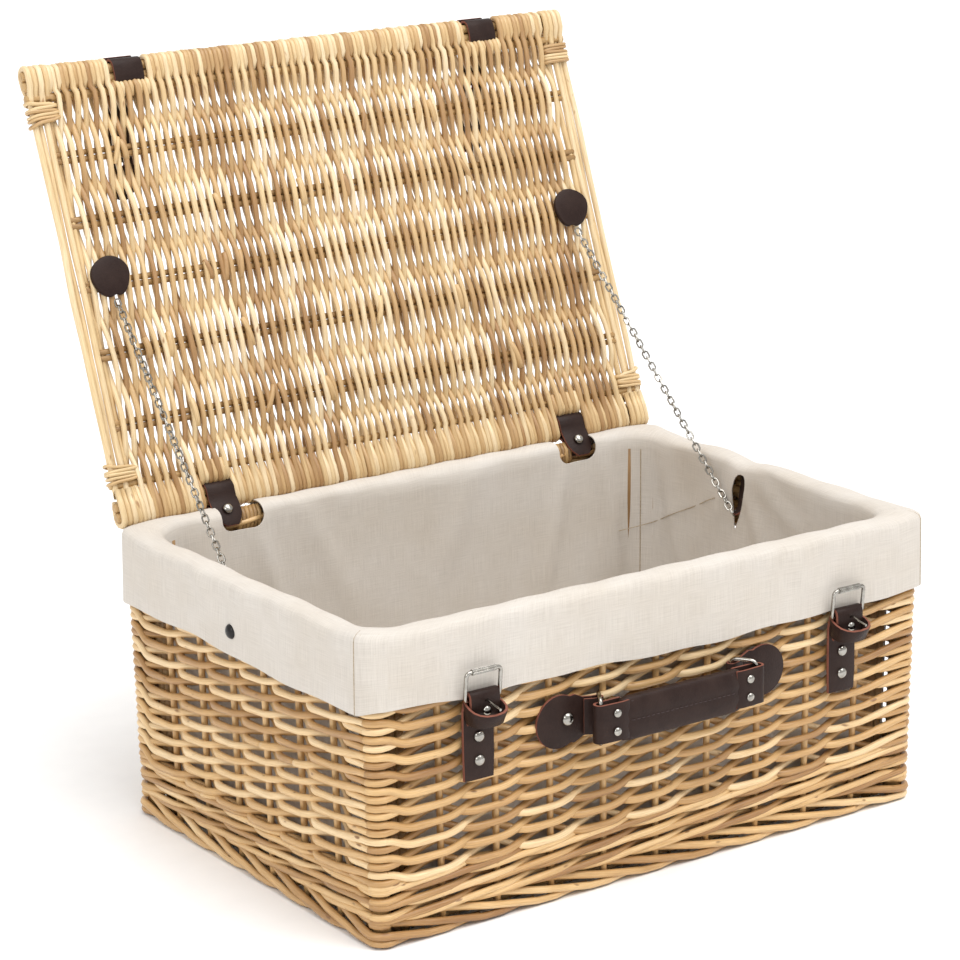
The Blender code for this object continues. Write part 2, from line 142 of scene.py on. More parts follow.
soft_light("key", (1.3, -2.4, 3.0), (0, 0, 0.2), 1.5, 19)
soft_light("side", (-3.0, -1.2, 2.2), (0, 0, 0.2), 1.6, 26)
sky = bpy.data.lights.new("overhead", "SUN")
sky.energy, sky.angle = 2.15, radians(50)
overhead = bpy.data.objects.new("overhead", sky)
bpy.context.scene.collection.objects.link(overhead)
overhead.rotation_euler = (radians(14), radians(8), 0)
world = bpy.data.worlds.new("studio")
bpy.context.scene.world = world
world.use_nodes = True
world.node_tree.nodes["Background"].inputs["Color"].default_value = (1.0, 1.0, 1.0, 1)
world.node_tree.nodes["Background"].inputs["Strength"].default_value = 0.80
bpy.context.scene.view_settings.view_transform = "Standard"
print("three soft lights and a white surround")


# %% [markdown]
# ## Materials
# Each finish is a small node tree. Patterns that must follow a rod or a cloth read that piece's own UV map, laid
# out in metres, so that a streak or a thread has its real size. The leather reads the piece's place in space. A rod
# also carries a number of its own, `tone`, so no two rods match.

# %% A small node builder
def material(name, roughness=0.5, metallic=0.0, **sockets):
    """A named material with a Principled shader, and the tools to wire nodes to it."""
    made = bpy.data.materials.new(name)
    made.use_nodes = True
    shader = made.node_tree.nodes["Principled BSDF"]
    shader.inputs["Roughness"].default_value = roughness
    shader.inputs["Metallic"].default_value = metallic
    for key, value in sockets.items():
        shader.inputs[key.replace("_", " ")].default_value = value
    return made, made.node_tree, shader


def node(tree, kind, **values):
    made = tree.nodes.new("ShaderNode" + kind)
    for key, value in values.items():
        if key in made.inputs:
            made.inputs[key].default_value = value
        else:
            setattr(made, key, value)
    return made


def surface_uv(tree, scale, name="grain"):
    """The piece's own UV map in metres, stretched by a scale along and across."""
    uv = node(tree, "UVMap", uv_map=name)
    mapping = node(tree, "Mapping")
    mapping.inputs["Scale"].default_value = (*scale, 1) if len(scale) == 2 else scale
    tree.links.new(uv.outputs["UV"], mapping.inputs["Vector"])
    return mapping.outputs["Vector"]


def noise(tree, vector, detail=3.0, roughness=0.55, scale=1.0):
    made = node(tree, "TexNoise", Scale=scale, Detail=detail, Roughness=roughness)
    if vector is not None:
        tree.links.new(vector, made.inputs["Vector"])
    return made.outputs["Fac"]


def ramp(tree, value, stops):
    """Turns a number into a colour through a few stops."""
    made = node(tree, "ValToRGB")
    elements = made.color_ramp.elements
    while len(elements) < len(stops):
        elements.new(0.5)
    for element, (place, color) in zip(elements, stops):
        element.position, element.color = place, (*color, 1)
    tree.links.new(value, made.inputs["Fac"])
    return made.outputs["Color"]


def mix(tree, share, a, b, blend="MIX"):
    made = node(tree, "Mix", data_type="RGBA", blend_type=blend)
    for source, slot in ((share, 0), (a, 6), (b, 7)):
        if isinstance(source, (int, float)):
            made.inputs[slot].default_value = source
        elif isinstance(source, tuple):
            made.inputs[slot].default_value = (*source, 1)
        else:
            tree.links.new(source, made.inputs[slot])
    return made.outputs[2]


def math(tree, operation, a, b=0.0, clamp=False):
    made = node(tree, "Math", operation=operation, use_clamp=clamp)
    for source, slot in ((a, 0), (b, 1)):
        if isinstance(source, (int, float)):
            made.inputs[slot].default_value = source
        else:
            tree.links.new(source, made.inputs[slot])
    return made.outputs[0]


def bump(tree, shader, height, distance, strength=1.0):
    made = node(tree, "Bump", Strength=strength, Distance=distance)
    tree.links.new(height, made.inputs["Height"])
    tree.links.new(made.outputs["Normal"], shader.inputs["Normal"])


# %% [markdown]
# ### Willow
# A peeled willow rod is honey to cream in colour, with long fine streaks along it, a
# few darker stretches and here and there a bud scar. Its thin skin gives a soft gloss.
# The streaks are noise squeezed along the rod and stretched, so they run with the grain.

# %% Willow materials
def willow(name, shades, dark, gloss):
    made, tree, shader = material(name, roughness=gloss, Coat_Weight=0.12, Coat_Roughness=0.3)
    tone = node(tree, "Attribute", attribute_name="tone").outputs["Fac"]
    drift = noise(tree, surface_uv(tree, (9, 40)), detail=2)
    streak = noise(tree, surface_uv(tree, (60, 1500)), detail=3)
    place = math(tree, "ADD", tone, math(tree, "MULTIPLY", math(tree, "SUBTRACT", drift, 0.5), 0.9))
    color = ramp(tree, math(tree, "ADD", place, 0.0, clamp=True), shades)
    fine = ramp(tree, streak, ((0.35, (0.72, 0.66, 0.58)), (0.62, (1.0, 1.0, 1.0))))
    color = mix(tree, 0.75, color, fine, "MULTIPLY")
    scar = noise(tree, surface_uv(tree, (70, 160)), detail=1)
    spot = ramp(tree, scar, ((0.70, (0, 0, 0)), (0.78, (1, 1, 1))))
    color = mix(tree, spot, color, dark)
    tree.links.new(color, shader.inputs["Base Color"])
    rough = node(tree, "MapRange")
    rough.inputs["To Min"].default_value, rough.inputs["To Max"].default_value = gloss - 0.1, gloss + 0.14
    tree.links.new(streak, rough.inputs["Value"])
    tree.links.new(rough.outputs["Result"], shader.inputs["Roughness"])
    bump(tree, shader, streak, 0.0004, 0.55)
    return made


GOLDEN_WILLOW = willow(
    "golden_willow",
    ((0.0, (0.34, 0.175, 0.062)), (0.3, (0.56, 0.335, 0.135)), (0.65, (0.73, 0.485, 0.225)),
     (1.0, (0.86, 0.65, 0.38))),
    (0.26, 0.13, 0.05), 0.34)
PALE_WILLOW = willow(
    "pale_willow",
    ((0.0, (0.40, 0.225, 0.09)), (0.3, (0.61, 0.405, 0.19)), (0.65, (0.75, 0.56, 0.305)),
     (1.0, (0.86, 0.70, 0.46))),
    (0.38, 0.21, 0.09), 0.38)
STICK_WILLOW = willow(
    "stick_willow",
    ((0.0, (0.27, 0.15, 0.055)), (0.5, (0.46, 0.28, 0.11)), (1.0, (0.62, 0.42, 0.19))),
    (0.20, 0.11, 0.04), 0.46)
print("willow finishes: golden, pale and stick")

# %% [markdown]
# ### Leather, nickel and calico
# The straps are dark brown leather with a fine pebble and a soft sheen. Where it was
# cut, its raw red-brown core shows, so the edges get a material of their own. The
# fittings are nickel plated. The lining is unbleached calico: plain weave, with slubs.

# %% Leather
def leather(name, color, shade, gloss, grain=900):
    made, tree, shader = material(name, roughness=gloss, Specular_IOR_Level=0.12)
    place = node(tree, "TexCoord").outputs["Object"]
    cells = node(tree, "TexVoronoi", Scale=grain, feature="SMOOTH_F1")
    tree.links.new(place, cells.inputs["Vector"])
    wear = noise(tree, place, detail=4, scale=60)
    fleck = noise(tree, place, detail=3, scale=420)
    base = mix(tree, ramp(tree, wear, ((0.35, (0, 0, 0)), (0.75, (1, 1, 1)))), color, shade)
    base = mix(tree, math(tree, "MULTIPLY", fleck, 0.5), base, shade)
    tree.links.new(base, shader.inputs["Base Color"])
    rough = node(tree, "MapRange")
    rough.inputs["To Min"].default_value, rough.inputs["To Max"].default_value = gloss - 0.08, gloss + 0.16
    tree.links.new(wear, rough.inputs["Value"])
    tree.links.new(rough.outputs["Result"], shader.inputs["Roughness"])
    height = math(tree, "ADD", cells.outputs["Distance"], math(tree, "MULTIPLY", fleck, 0.6))
    bump(tree, shader, height, 0.0003, 0.5)
    return made


DARK_LEATHER = leather("dark_leather", (0.020, 0.0105, 0.0088), (0.036, 0.021, 0.017), 0.36)
RAW_EDGE = leather("raw_leather_edge", (0.27, 0.105, 0.070), (0.17, 0.060, 0.042), 0.75, 1400)
THREAD, tree, shader = material("brown_thread", roughness=0.8, Base_Color=(0.05, 0.03, 0.028, 1))
twist = node(tree, "TexWave", Scale=900.0, Distortion=1.5)
tree.links.new(node(tree, "TexCoord").outputs["Object"], twist.inputs["Vector"])
bump(tree, shader, twist.outputs["Fac"], 0.0002, 0.6)

# %% Nickel
NICKEL, tree, shader = material("nickel_plate", roughness=0.17, metallic=1.0)
# The base colour is kept dark and made patchy by noise: painted dark reflections of the surroundings, with some
# tarnish.
place = node(tree, "TexCoord").outputs["Object"]
tarnish_and_reflection = noise(tree, place, detail=2, scale=260)
tree.links.new(ramp(tree, tarnish_and_reflection, ((0.25, (0.26, 0.245, 0.22)), (0.75, (0.46, 0.44, 0.40)))),
               shader.inputs["Base Color"])
rough = node(tree, "MapRange")
rough.inputs["To Min"].default_value, rough.inputs["To Max"].default_value = 0.10, 0.26
tree.links.new(tarnish_and_reflection, rough.inputs["Value"])
tree.links.new(rough.outputs["Result"], shader.inputs["Roughness"])
bump(tree, shader, noise(tree, place, detail=3, scale=700), 0.00005, 0.3)


# %% Calico
def cloth(name, light, warm):
    made, tree, shader = material(name, roughness=0.9, Sheen_Weight=0.15, Sheen_Roughness=0.5)
    along = noise(tree, surface_uv(tree, (45, 1900)), detail=2)
    across = noise(tree, surface_uv(tree, (1900, 45)), detail=2)
    slubs = math(tree, "ADD", math(tree, "MULTIPLY", along, 0.5), math(tree, "MULTIPLY", across, 0.5))
    cloud = noise(tree, surface_uv(tree, (16, 16)), detail=3)
    color = mix(tree, ramp(tree, cloud, ((0.3, (0, 0, 0)), (0.7, (1, 1, 1)))), light, warm)
    threads = ramp(tree, slubs, ((0.36, (0.84, 0.82, 0.79)), (0.60, (1.03, 1.02, 1.0))))
    color = mix(tree, 0.8, color, threads, "MULTIPLY")
    speck = noise(tree, surface_uv(tree, (420, 420)), detail=1)
    color = mix(tree, ramp(tree, speck, ((0.74, (0, 0, 0)), (0.80, (0.5, 0.5, 0.5)))), color, (0.50, 0.40, 0.28))
    tree.links.new(color, shader.inputs["Base Color"])
    weft = node(tree, "TexWave", Scale=1.0, wave_type="BANDS", bands_direction="X")
    warp = node(tree, "TexWave", Scale=1.0, wave_type="BANDS", bands_direction="Y")
    for wave in (weft, warp):
        tree.links.new(surface_uv(tree, (330, 330)), wave.inputs["Vector"])
    weave = math(tree, "MULTIPLY", weft.outputs["Fac"], warp.outputs["Fac"])
    height = math(tree, "ADD", math(tree, "MULTIPLY", weave, 0.5), slubs)
    bump(tree, shader, height, 0.0003, 0.55)
    return made


CALICO = cloth("calico", (0.625, 0.585, 0.54), (0.585, 0.535, 0.475))
# The seam lines are coloured darker and browner than the calico: painted shade along the puckered seams.
SEAM_SHADE, tree, shader = material("calico_seam_shade", roughness=0.95)
tree.links.new(ramp(tree, noise(tree, node(tree, "TexCoord").outputs["Object"], scale=900),
                    ((0.3, (0.30, 0.23, 0.15)), (0.7, (0.48, 0.39, 0.28)))), shader.inputs["Base Color"])
paper, tree, shader = material("floor_paper", roughness=0.85)
tree.links.new(ramp(tree, noise(tree, node(tree, "TexCoord").outputs["Object"], scale=40),
                    ((0.3, (0.90, 0.90, 0.90)), (0.7, (0.92, 0.92, 0.92)))), shader.inputs["Base Color"])
floor.data.materials.append(paper)
print("leather, raw edge, thread, nickel, calico and floor paper")

# %% [markdown]
# ## Rods
# A basket is made of a few hundred rods, each following its own path over and under
# the others. A primitive can't take such a path, so each rod here is a tube swept along
# a list of points. All the rods of one row or field become one mesh. The tube also
# gets a UV map in metres, `grain`, and its own `tone`.

# %% Sweep rods along paths
rng = np.random.default_rng(20)


def rods(name, paths, finish, body, sides=8, upright=(0, 0, 1), replaces=()):
    """One mesh of many tubes. A path is (points, radii, tone); each rod's grain is shifted lengthwise at random."""
    verts, faces, uvs, tones = [], [], [], []
    around = np.arange(sides) * 2 * pi / sides
    base = 0
    for points, radius, tone in paths:
        points = np.asarray(points, float)
        radius = np.broadcast_to(np.asarray(radius, float), len(points)).copy()
        tangent = np.gradient(points, axis=0)
        tangent /= np.linalg.norm(tangent, axis=1)[:, None]
        cap = min(radius[0], 0.0012)
        points = np.vstack((points[0] - tangent[0] * cap * 0.5, points, points[-1] + tangent[-1] * cap * 0.5))
        tangent = np.vstack((tangent[:1], tangent, tangent[-1:]))
        radius = np.concatenate(([radius[0] * 0.72], radius, [radius[-1] * 0.72]))
        across = np.cross(tangent, np.asarray(upright, float))
        across /= np.linalg.norm(across, axis=1)[:, None] + 1e-12
        above = np.cross(across, tangent)
        ring = across[:, None] * np.cos(around)[None, :, None] + above[:, None] * np.sin(around)[None, :, None]
        verts.append((points[:, None] + ring * radius[:, None, None]).reshape(-1, 3))
        count = len(points)
        along = np.concatenate(([0], np.cumsum(np.linalg.norm(np.diff(points, axis=0), axis=1))))
        along += rng.uniform(0, 7)
        i, j = np.meshgrid(np.arange(count - 1), np.arange(sides), indexing="ij")
        k = (j + 1) % sides
        quads = np.stack((i * sides + j, i * sides + k, (i + 1) * sides + k, (i + 1) * sides + j), -1)
        faces.extend((quads.reshape(-1, 4)[:, ::-1] + base).tolist())
        girth = 2 * pi * radius.mean() / sides
        u = along[np.stack((i, i, i + 1, i + 1), -1)]
        v = np.stack((j, j + 1, j + 1, j), -1) * girth
        uvs.append(np.stack((u, v), -1).reshape(-1, 4, 2)[:, ::-1].reshape(-1, 2))
        faces.append((np.arange(sides) + base).tolist())
        faces.append((np.arange(sides)[::-1] + base + (count - 1) * sides).tolist())
        spread = np.stack((np.cos(around), np.sin(around)), -1) * radius[1]
        uvs.extend((spread + along[0], spread[::-1] + along[-1]))
        tones.append(np.full(count * sides, tone, np.float32))
        base += count * sides
    mesh = bpy.data.meshes.new(name)
    mesh.from_pydata(np.vstack(verts), [], faces)
    mesh.uv_layers.new(name="grain").data.foreach_set("uv", np.vstack(uvs).ravel().astype(np.float32))
    mesh.attributes.new("tone", "FLOAT", "POINT").data.foreach_set("value", np.concatenate(tones))
    mesh.polygons.foreach_set("use_smooth", np.ones(len(mesh.polygons), bool))
    mesh.materials.append(finish)
    obj = bpy.data.objects.new(name, mesh)
    bpy.context.scene.collection.objects.link(obj)
    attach(obj, body)
    if replaces:
        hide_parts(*replaces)
    print(f"{name}: {len(paths)} rods, {len(mesh.polygons)} faces")
    return obj


def wander(count, amount, waves=3):
    """A smooth random drift along a rod."""
    t = np.linspace(0, 1, count)
    total = sum(rng.normal() * np.sin(2 * pi * (k + 0.5) * t + rng.uniform(0, 7)) / (k + 1)
                for k in range(1, waves + 1))
    return total * amount


# %% [markdown]
# ## The wall: posts and stakes
# The wall is woven round upright stakes, one every 48 mm or so, with a stout post in
# each corner. The weave is laid out once round the basket as a track: where each step
# is, which way is outwards, and how many stakes have been passed.

# %% Track round the basket
FOOT_HALF, RIM_HALF, RIM_TOP = (0.2530, 0.1730), (0.2575, 0.1742), 0.2270
POST_INSET, POST_R, STAKE_R = 0.0120, 0.0066, 0.0026
FRONT_STEPS, SIDE_STEPS = 10, 7
LAP = 2 * (FRONT_STEPS + SIDE_STEPS)
CORNERS = (0, FRONT_STEPS, FRONT_STEPS + SIDE_STEPS, 2 * FRONT_STEPS + SIDE_STEPS, LAP)
MIDDLE = 0.0053          # the stakes' middles, out from the posts' middles
AT_CORNER = 0.0094       # a rod's middle where it bends round a post


def post_half(z):
    """Half the distances between the posts' middles at height z."""
    return tuple(f + (r - f) * z / RIM_TOP - POST_INSET for f, r in zip(FOOT_HALF, RIM_HALF))


def track(start, stop, fine=11):
    """Steps round the basket: stakes passed, side direction, outward direction, on-corner flag."""
    steps = []
    for lap in (-1, 0, 1, 2):
        for side in range(4):
            first, last = CORNERS[side], CORNERS[side + 1]
            for k in range((last - first) * fine):
                steps.append((lap * LAP + first + k / fine, side, 0.0))
            for k in range(5):
                steps.append((lap * LAP + last, side, (k + 0.5) / 5))
    return [s for s in steps if start <= s[0] <= stop]


def spot(step, out, z):
    """The point at a step of the track, a distance out from the posts' middles."""
    passed, side, bend = step
    x, y = post_half(z)
    ends = ((-x, -y), (x, -y), (x, y), (-x, y), (-x, -y))
    local = passed % LAP if bend == 0 else CORNERS[side + 1]
    share = (local - CORNERS[side]) / (CORNERS[side + 1] - CORNERS[side])
    a, b = ends[side], ends[side + 1]
    way = radians(-90 + 90 * (side + bend))
    return (a[0] + (b[0] - a[0]) * share + out * cos(way), a[1] + (b[1] - a[1]) * share + out * sin(way), z)


uprights, posts = [], []
for k in range(LAP):
    leans = rng.normal(0, 0.0006)
    side = next(i for i in range(4) if CORNERS[i] <= k < CORNERS[i + 1])
    if k in CORNERS:
        points = [spot((k, side, 0.0), 0.0, z) for z in np.linspace(0.003, RIM_TOP, 8)]
        posts.append((points, POST_R, 0.45))
    else:
        points = [spot((k, side, 0.0), MIDDLE, z) for z in np.linspace(0.002, RIM_TOP, 8)]
        uprights.append((np.array(points) + [leans, leans, 0], STAKE_R, rng.uniform(0.3, 0.7)))
# Dark, stout rods set just inside each corner: painted shade, so the gaps of the weave there show dark brown
# instead of the background.
inner = []
for corner in CORNERS[:4]:
    for step, side in ((-0.46, -1), (-0.30, -1), (0.30, 0), (0.46, 0)):
        k = (corner + step) % LAP
        on_side = (CORNERS.index(corner) + side) % 4
        points = [spot((k, on_side, 0.0), MIDDLE - 0.0105, z) for z in np.linspace(0.004, RIM_TOP - 0.006, 5)]
        inner.append((points, 0.0042, rng.uniform(0.0, 0.4)))
rods("corner_shade_rods", inner, STICK_WILLOW, "basket", sides=8, upright=(1, 0.3, 0))
rods("wall_stakes", uprights, GOLDEN_WILLOW, "basket", sides=8, upright=(1, 0.3, 0))
rods("corner_posts", posts, STICK_WILLOW, "basket", sides=12, upright=(1, 0.3, 0),
     replaces=["corner_post_" + a + "_" + b for a in ("front", "back") for b in ("left", "right")])


# %% [markdown]
# ## The wall: twined rows
# Above the thick lower band the wall is twined: two rods cross between each two stakes,
# one passing outside while the other passes inside. Seen from outside, the rod in front
# of a stake lies low and level, then climbs and slips behind the next stake. At a post
# both rods go round the outside. A rod is only some 60 cm long, so it ends behind a
# stake and another takes over.

# %% Twine a row
def eased(f):
    """Starts and ends gently between 0 and 1."""
    f = np.clip(f, 0, 1)
    return f * f * (3 - 2 * f)


def softened(values, steps):
    """A running mean, to round off the bends of a rod."""
    padded = np.concatenate((values[-steps - 1:-1], values, values[1:steps + 1]))
    kernel = np.ones(2 * steps + 1) / (2 * steps + 1)
    return np.convolve(padded, kernel, "valid")


def twined_row(z, depth, lift, radius, phase):
    """Two rods that cross between stakes, the front one straight until it slips behind."""
    paths = []
    for strand in (0, 1):
        steps = track(0, LAP, 12)
        s = np.array([step[0] for step in steps])
        out, height = np.zeros(len(s)), np.zeros(len(s))
        for i, passed in enumerate(s):
            k, f = int(passed), passed - int(passed)
            ends = []
            for stake in (k, k + 1):
                front = (stake + strand + phase) % 2 == 0
                corner = stake % LAP in CORNERS
                level = 0.0031 if corner else lift
                ends.append((AT_CORNER - MIDDLE if corner else (depth if front else -depth),
                             -level if front else level, front))
            if ends[0][2]:
                climb, swing = min(1.0, max(0.0, f - 0.08) / 0.92), eased((f - 0.04) / 0.86)
            else:
                rise = 0.0 if steps[i][1] % 2 == 0 else 0.30
                climb = (1 + rise) * eased(f / 0.42) - rise * min(1.0, max(0.0, (f - 0.42) / 0.58))
                swing = eased((f - 0.06) / 0.56)
            out[i] = ends[0][0] + (ends[1][0] - ends[0][0]) * swing
            height[i] = ends[0][1] + (ends[1][1] - ends[0][1]) * climb
        out, height = softened(out, 1), softened(height, 1)
        height += z + wander(len(s), 0.0003, 9) * np.sin(pi * np.linspace(0, 1, len(s))) ** 0.3
        points = np.array([spot(step, MIDDLE + o, h) for step, o, h in zip(steps, out, height)])
        cuts = [0]
        while cuts[-1] < LAP:
            cuts.append(min(LAP, cuts[-1] + int(rng.integers(10, 15))))
        for a, b in zip(cuts, cuts[1:]):
            inside = (s >= a) & (s <= b)
            size = radius * rng.uniform(0.93, 1.07)
            taper = np.linspace(1.04, 0.95, inside.sum()) * (1 + 0.12 * np.sin(pi * s[inside]) ** 2)
            paths.append((points[inside], size * taper, rng.uniform(0.12, 0.98)))
    return paths


ROW_Z = [0.0500 + 0.0127 * k for k in range(14)]
for group, first, last in (("lower", 0, 5), ("middle", 5, 10), ("upper", 10, 13)):
    made = []
    for k in range(first, last):
        made += twined_row(ROW_Z[k] + 0.0030, 0.0050, 0.0037, 0.00285, 0)
    rods(f"twined_rows_{group}", made, GOLDEN_WILLOW, "basket",
         replaces=["wall_weave"] if group == "lower" else [])


# %% [markdown]
# ## The wall: waling and foot
# Three rods at a time are worked round the bottom of the wall. Each passes in front of
# two stakes and behind one, so long strokes cross each other at a shallow slant. This
# stiffens the foot. Below it the stakes are turned down and worked into a border.

# %% Wale and foot border
def waled_row(z, depth, lift, radius, start):
    paths = []
    for strand in range(3):
        shift = strand + start
        steps = track(0, LAP, 9)
        s = np.array([step[0] for step in steps])
        near = np.floor(s)
        share = (1 - np.cos(pi * (s - near))) / 2

        def outness(k):
            inner = (int(k) + shift) % 3 == 2
            if int(k) % LAP in CORNERS:
                return (AT_CORNER - MIDDLE) * (0.5 if inner else 1.0)
            return -depth if inner else depth

        out = np.array([outness(k) * (1 - f) + outness(k + 1) * f for k, f in zip(near, share)])
        turn = ((s + shift + 0.5) % 3) / 3
        rising = np.where(turn < 0.7, -1 + 2 * turn / 0.7, 1 - 2 * (turn - 0.7) / 0.3)
        height = z + lift * rising + wander(len(s), 0.0006, 14)
        points = np.array([spot(step, MIDDLE + o, h) for step, o, h in zip(steps, out, height)])
        cuts = [0]
        while cuts[-1] < LAP:
            cuts.append(min(LAP, cuts[-1] + int(rng.integers(8, 14))))
        for a, b in zip(cuts, cuts[1:]):
            inside = (s >= a) & (s <= b)
            paths.append((points[inside], radius * rng.uniform(0.9, 1.08) * np.linspace(1.06, 0.94, inside.sum()),
                          rng.uniform(0.0, 0.8)))
    return paths


made = []
for k, z in enumerate((0.0225, 0.0335, 0.0445)):
    made += waled_row(z, 0.0050, 0.0034, 0.00255, k)
rods("waling", made, GOLDEN_WILLOW, "basket")

made = []
for k in range(LAP):
    steps = track(k - 0.3, k + 2.75, 9)
    s = np.array([step[0] for step in steps]) - k
    height = np.interp(s, (-0.3, 0.1, 1.65, 2.75), (0.0190, 0.0170, 0.0042, 0.0036))
    out = np.interp(s, (-0.3, 0.2, 0.8, 2.0, 2.75), (-0.0015, 0.0010, 0.0052, 0.0048, -0.0040))
    corner = np.array([0.0035 if step[2] else 0.0 for step in steps])
    points = [spot(step, MIDDLE + max(o, c), h) for step, o, c, h in zip(steps, out, corner, height)]
    made.append((points, 0.0031 * rng.uniform(0.92, 1.06) * np.linspace(1.05, 0.9, len(s)), rng.uniform(0.05, 0.8)))
rods("foot_border_rods", made, GOLDEN_WILLOW, "basket", replaces=["foot_border"])

made = []
for k, z in enumerate((0.2130, 0.2215)):
    made += waled_row(z, 0.0042, 0.0026, 0.0023, k + 1)
rods("rim_rods", made, GOLDEN_WILLOW, "basket", sides=6, replaces=["rim_border"])

made = []
for first in (-0.1560, 0.1480):
    for k in range(6):
        x = first + 0.0036 * k
        line = [(x - 0.0012, 0.1652, 0.2120), (x, 0.1636, 0.2200), (x + 0.0006, 0.1650, 0.2275),
                (x + 0.0014, 0.1690, 0.2312), (x + 0.0020, 0.1730, 0.2290)]
        made.append((line, 0.0021, rng.uniform(0.0, 0.7)))
rods("rim_wraps", made, STICK_WILLOW, "basket", sides=8, upright=(1, 0, 0))

# %% [markdown]
# ## The base
# The floor of a hamper is woven flat before the wall goes up: stout sticks run the long
# way and thinner rods cross them, over one and under the next. It shows from below.
# The lid is woven in the same way, so one weaving helper serves both.

# %% Weave a flat field
def crossing_rod(x, sign, rows, reach, radius, aside, slant, ends):
    """A weaver's path (x, s, n): it changes sides at each row of sticks."""
    keys = [(s, (reach[i] + radius) * sign * (-1) ** i) for i, s in enumerate(rows)]
    s = np.linspace(rows[0], rows[-1], 8 * (len(rows) - 1) + 1)
    n = np.zeros(len(s))
    for (s0, n0), (s1, n1) in zip(keys, keys[1:]):
        inside = (s >= s0) & (s <= s1)
        n[inside] = n0 + (n1 - n0) * eased((s[inside] - s0) / (s1 - s0) * 1.16 - 0.08)
    top = max(abs(k[1]) for k in keys)
    across = x + aside * np.sign(n) * abs(n / top) ** 2.5 + slant * np.sin(2 * pi * (s / 0.113 + 3 * x))
    across += wander(len(s), 0.0005, 7)
    path = np.stack((across, s, n), -1)
    return np.vstack([ends[0](path[0]), path, ends[1](path[-1])])


def plain_end(point):
    return np.empty((0, 3))


# %% Weave the base
stick_rows = np.linspace(-0.150, 0.150, 9)
sticks = []
for y in stick_rows:
    for twin in (-0.0029, 0.0029):
        line = [(x, y + twin, 0.0062) for x in np.linspace(-0.2375, 0.2375, 14)]
        sticks.append((line, 0.0028, rng.uniform(0.2, 0.8)))
weavers = []
for j, x in enumerate(np.arange(-0.2345, 0.2350, 0.0047)):
    radius = 0.0021 * rng.uniform(0.9, 1.1)
    path = crossing_rod(x, 1 if j % 2 else -1, stick_rows, [0.0014] * 9, radius, 0.0006, 0.0008,
                        (plain_end, plain_end))
    path = np.stack((path[:, 0], path[:, 1], path[:, 2] + 0.0062), -1)
    weavers.append((path, radius, rng.uniform(0.1, 0.95)))
rods("base_sticks", sticks, STICK_WILLOW, "basket", sides=8, upright=(0, 0, 1), replaces=["base_weave"])
rods("base_weavers", weavers, GOLDEN_WILLOW, "basket", sides=6, upright=(1, 0, 0))

# %% [markdown]
# ## The lid
# The lid is woven across its short way, over pairs of sticks. At its front and back
# edges every weaver laps the two edge rods, so the edges look closely wrapped. A weaver
# in front of a pair leans one way and one behind leans the other, which opens the
# small pointed gaps beside each pair. Points on the lid are (x, s, n): s climbs the lid
# from its hinge and n comes out of its inner face.

# %% Lid coordinates and sticks
HINGE_Y, HINGE_Z, LID_TILT = 0.1785, 0.2395, radians(20.7)
HINGE_X, CLOSING_X = (-0.1660, 0.1760), (-0.1665, 0.1725)
PAIRS = (0.0700, 0.1260, 0.1800, 0.2310, 0.2830)
BACK_RODS = ((0.0, 0.0039), (0.0079, 0.0037), (0.0250, 0.0030))
FRONT_RODS = ((0.3490, 0.0039), (0.3412, 0.0037), (0.3315, 0.0038))


def on_lid(points):
    """Points (x, s, n) of the open lid, in the model's own directions."""
    p = np.asarray(points, float).reshape(-1, 3)
    y = HINGE_Y + p[:, 1] * sin(LID_TILT) - p[:, 2] * cos(LID_TILT)
    z = HINGE_Z + p[:, 1] * cos(LID_TILT) + p[:, 2] * sin(LID_TILT)
    return np.stack((p[:, 0], y, z), -1)


def on_lid_vector(x, s, n):
    return Vector(on_lid((x, s, n))[0])


LID_UP = (0, sin(LID_TILT), cos(LID_TILT))
LID_OUT = (0, -cos(LID_TILT), sin(LID_TILT))
sticks = []
for s in PAIRS:
    for twin in (-0.0026, 0.0026):
        x = np.linspace(-0.2450, 0.2450, 22)
        line = np.stack((x, s + twin + wander(22, 0.0004), np.zeros(22)), -1)
        sticks.append((on_lid(line), 0.00245 * rng.uniform(0.95, 1.08), rng.uniform(0.0, 0.6)))
for edge in (BACK_RODS, FRONT_RODS):
    for k, (s, radius) in enumerate(edge):
        half = 0.2568
        x = np.linspace(-half, half, 22)
        line = np.stack((x, s + wander(22, 0.0002 if k < 2 else 0.0005), np.zeros(22)), -1)
        sticks.append((on_lid(line), radius * np.linspace(1.0, 0.94, 22), rng.uniform(0.45, 0.8)))
rods("lid_sticks", sticks, STICK_WILLOW, "lid", sides=10, upright=LID_OUT,
     replaces=["lid_back_stick", "lid_front_stick"])


# %% Weavers of the lid
def lap(side, radius, full, x):
    """The end of a weaver, lapped round the edge rods: side is 0 at the back, 1 at the front."""
    rim, second, third = (BACK_RODS, FRONT_RODS)[side]
    way = (-1, 1)[side]

    def end(last):
        n = last[2]
        if full:
            h, h2 = rim[1] + radius, second[1] + radius
            points = [(x, third[0] + way * 0.0045, n * 0.25 + h2 * 0.55), (x, second[0], h2), (x, rim[0], h)]
            for a in (60, 30, 0, -30, -60, -90):
                points.append((x + 0.0003, rim[0] + way * h * cos(radians(a)), h * sin(radians(a))))
            points += [(x + 0.0006, second[0], -h2), (x + 0.0009, second[0] - way * 0.0045, -h2 * 0.8)]
        else:
            h, up = third[1] + radius, 1 if n > 0 else -1
            reach_out = third[0] + way * (0.0052 if side == 0 else 0.0)
            points = [(x, reach_out + way * h * cos(radians(a)), up * h * sin(radians(a)))
                      for a in (60, 30, 0, -30, -60, -90)]
            points.append((x, third[0] - way * 0.006, -up * h * 0.6))
        return np.array(points if side else points[::-1])
    return end


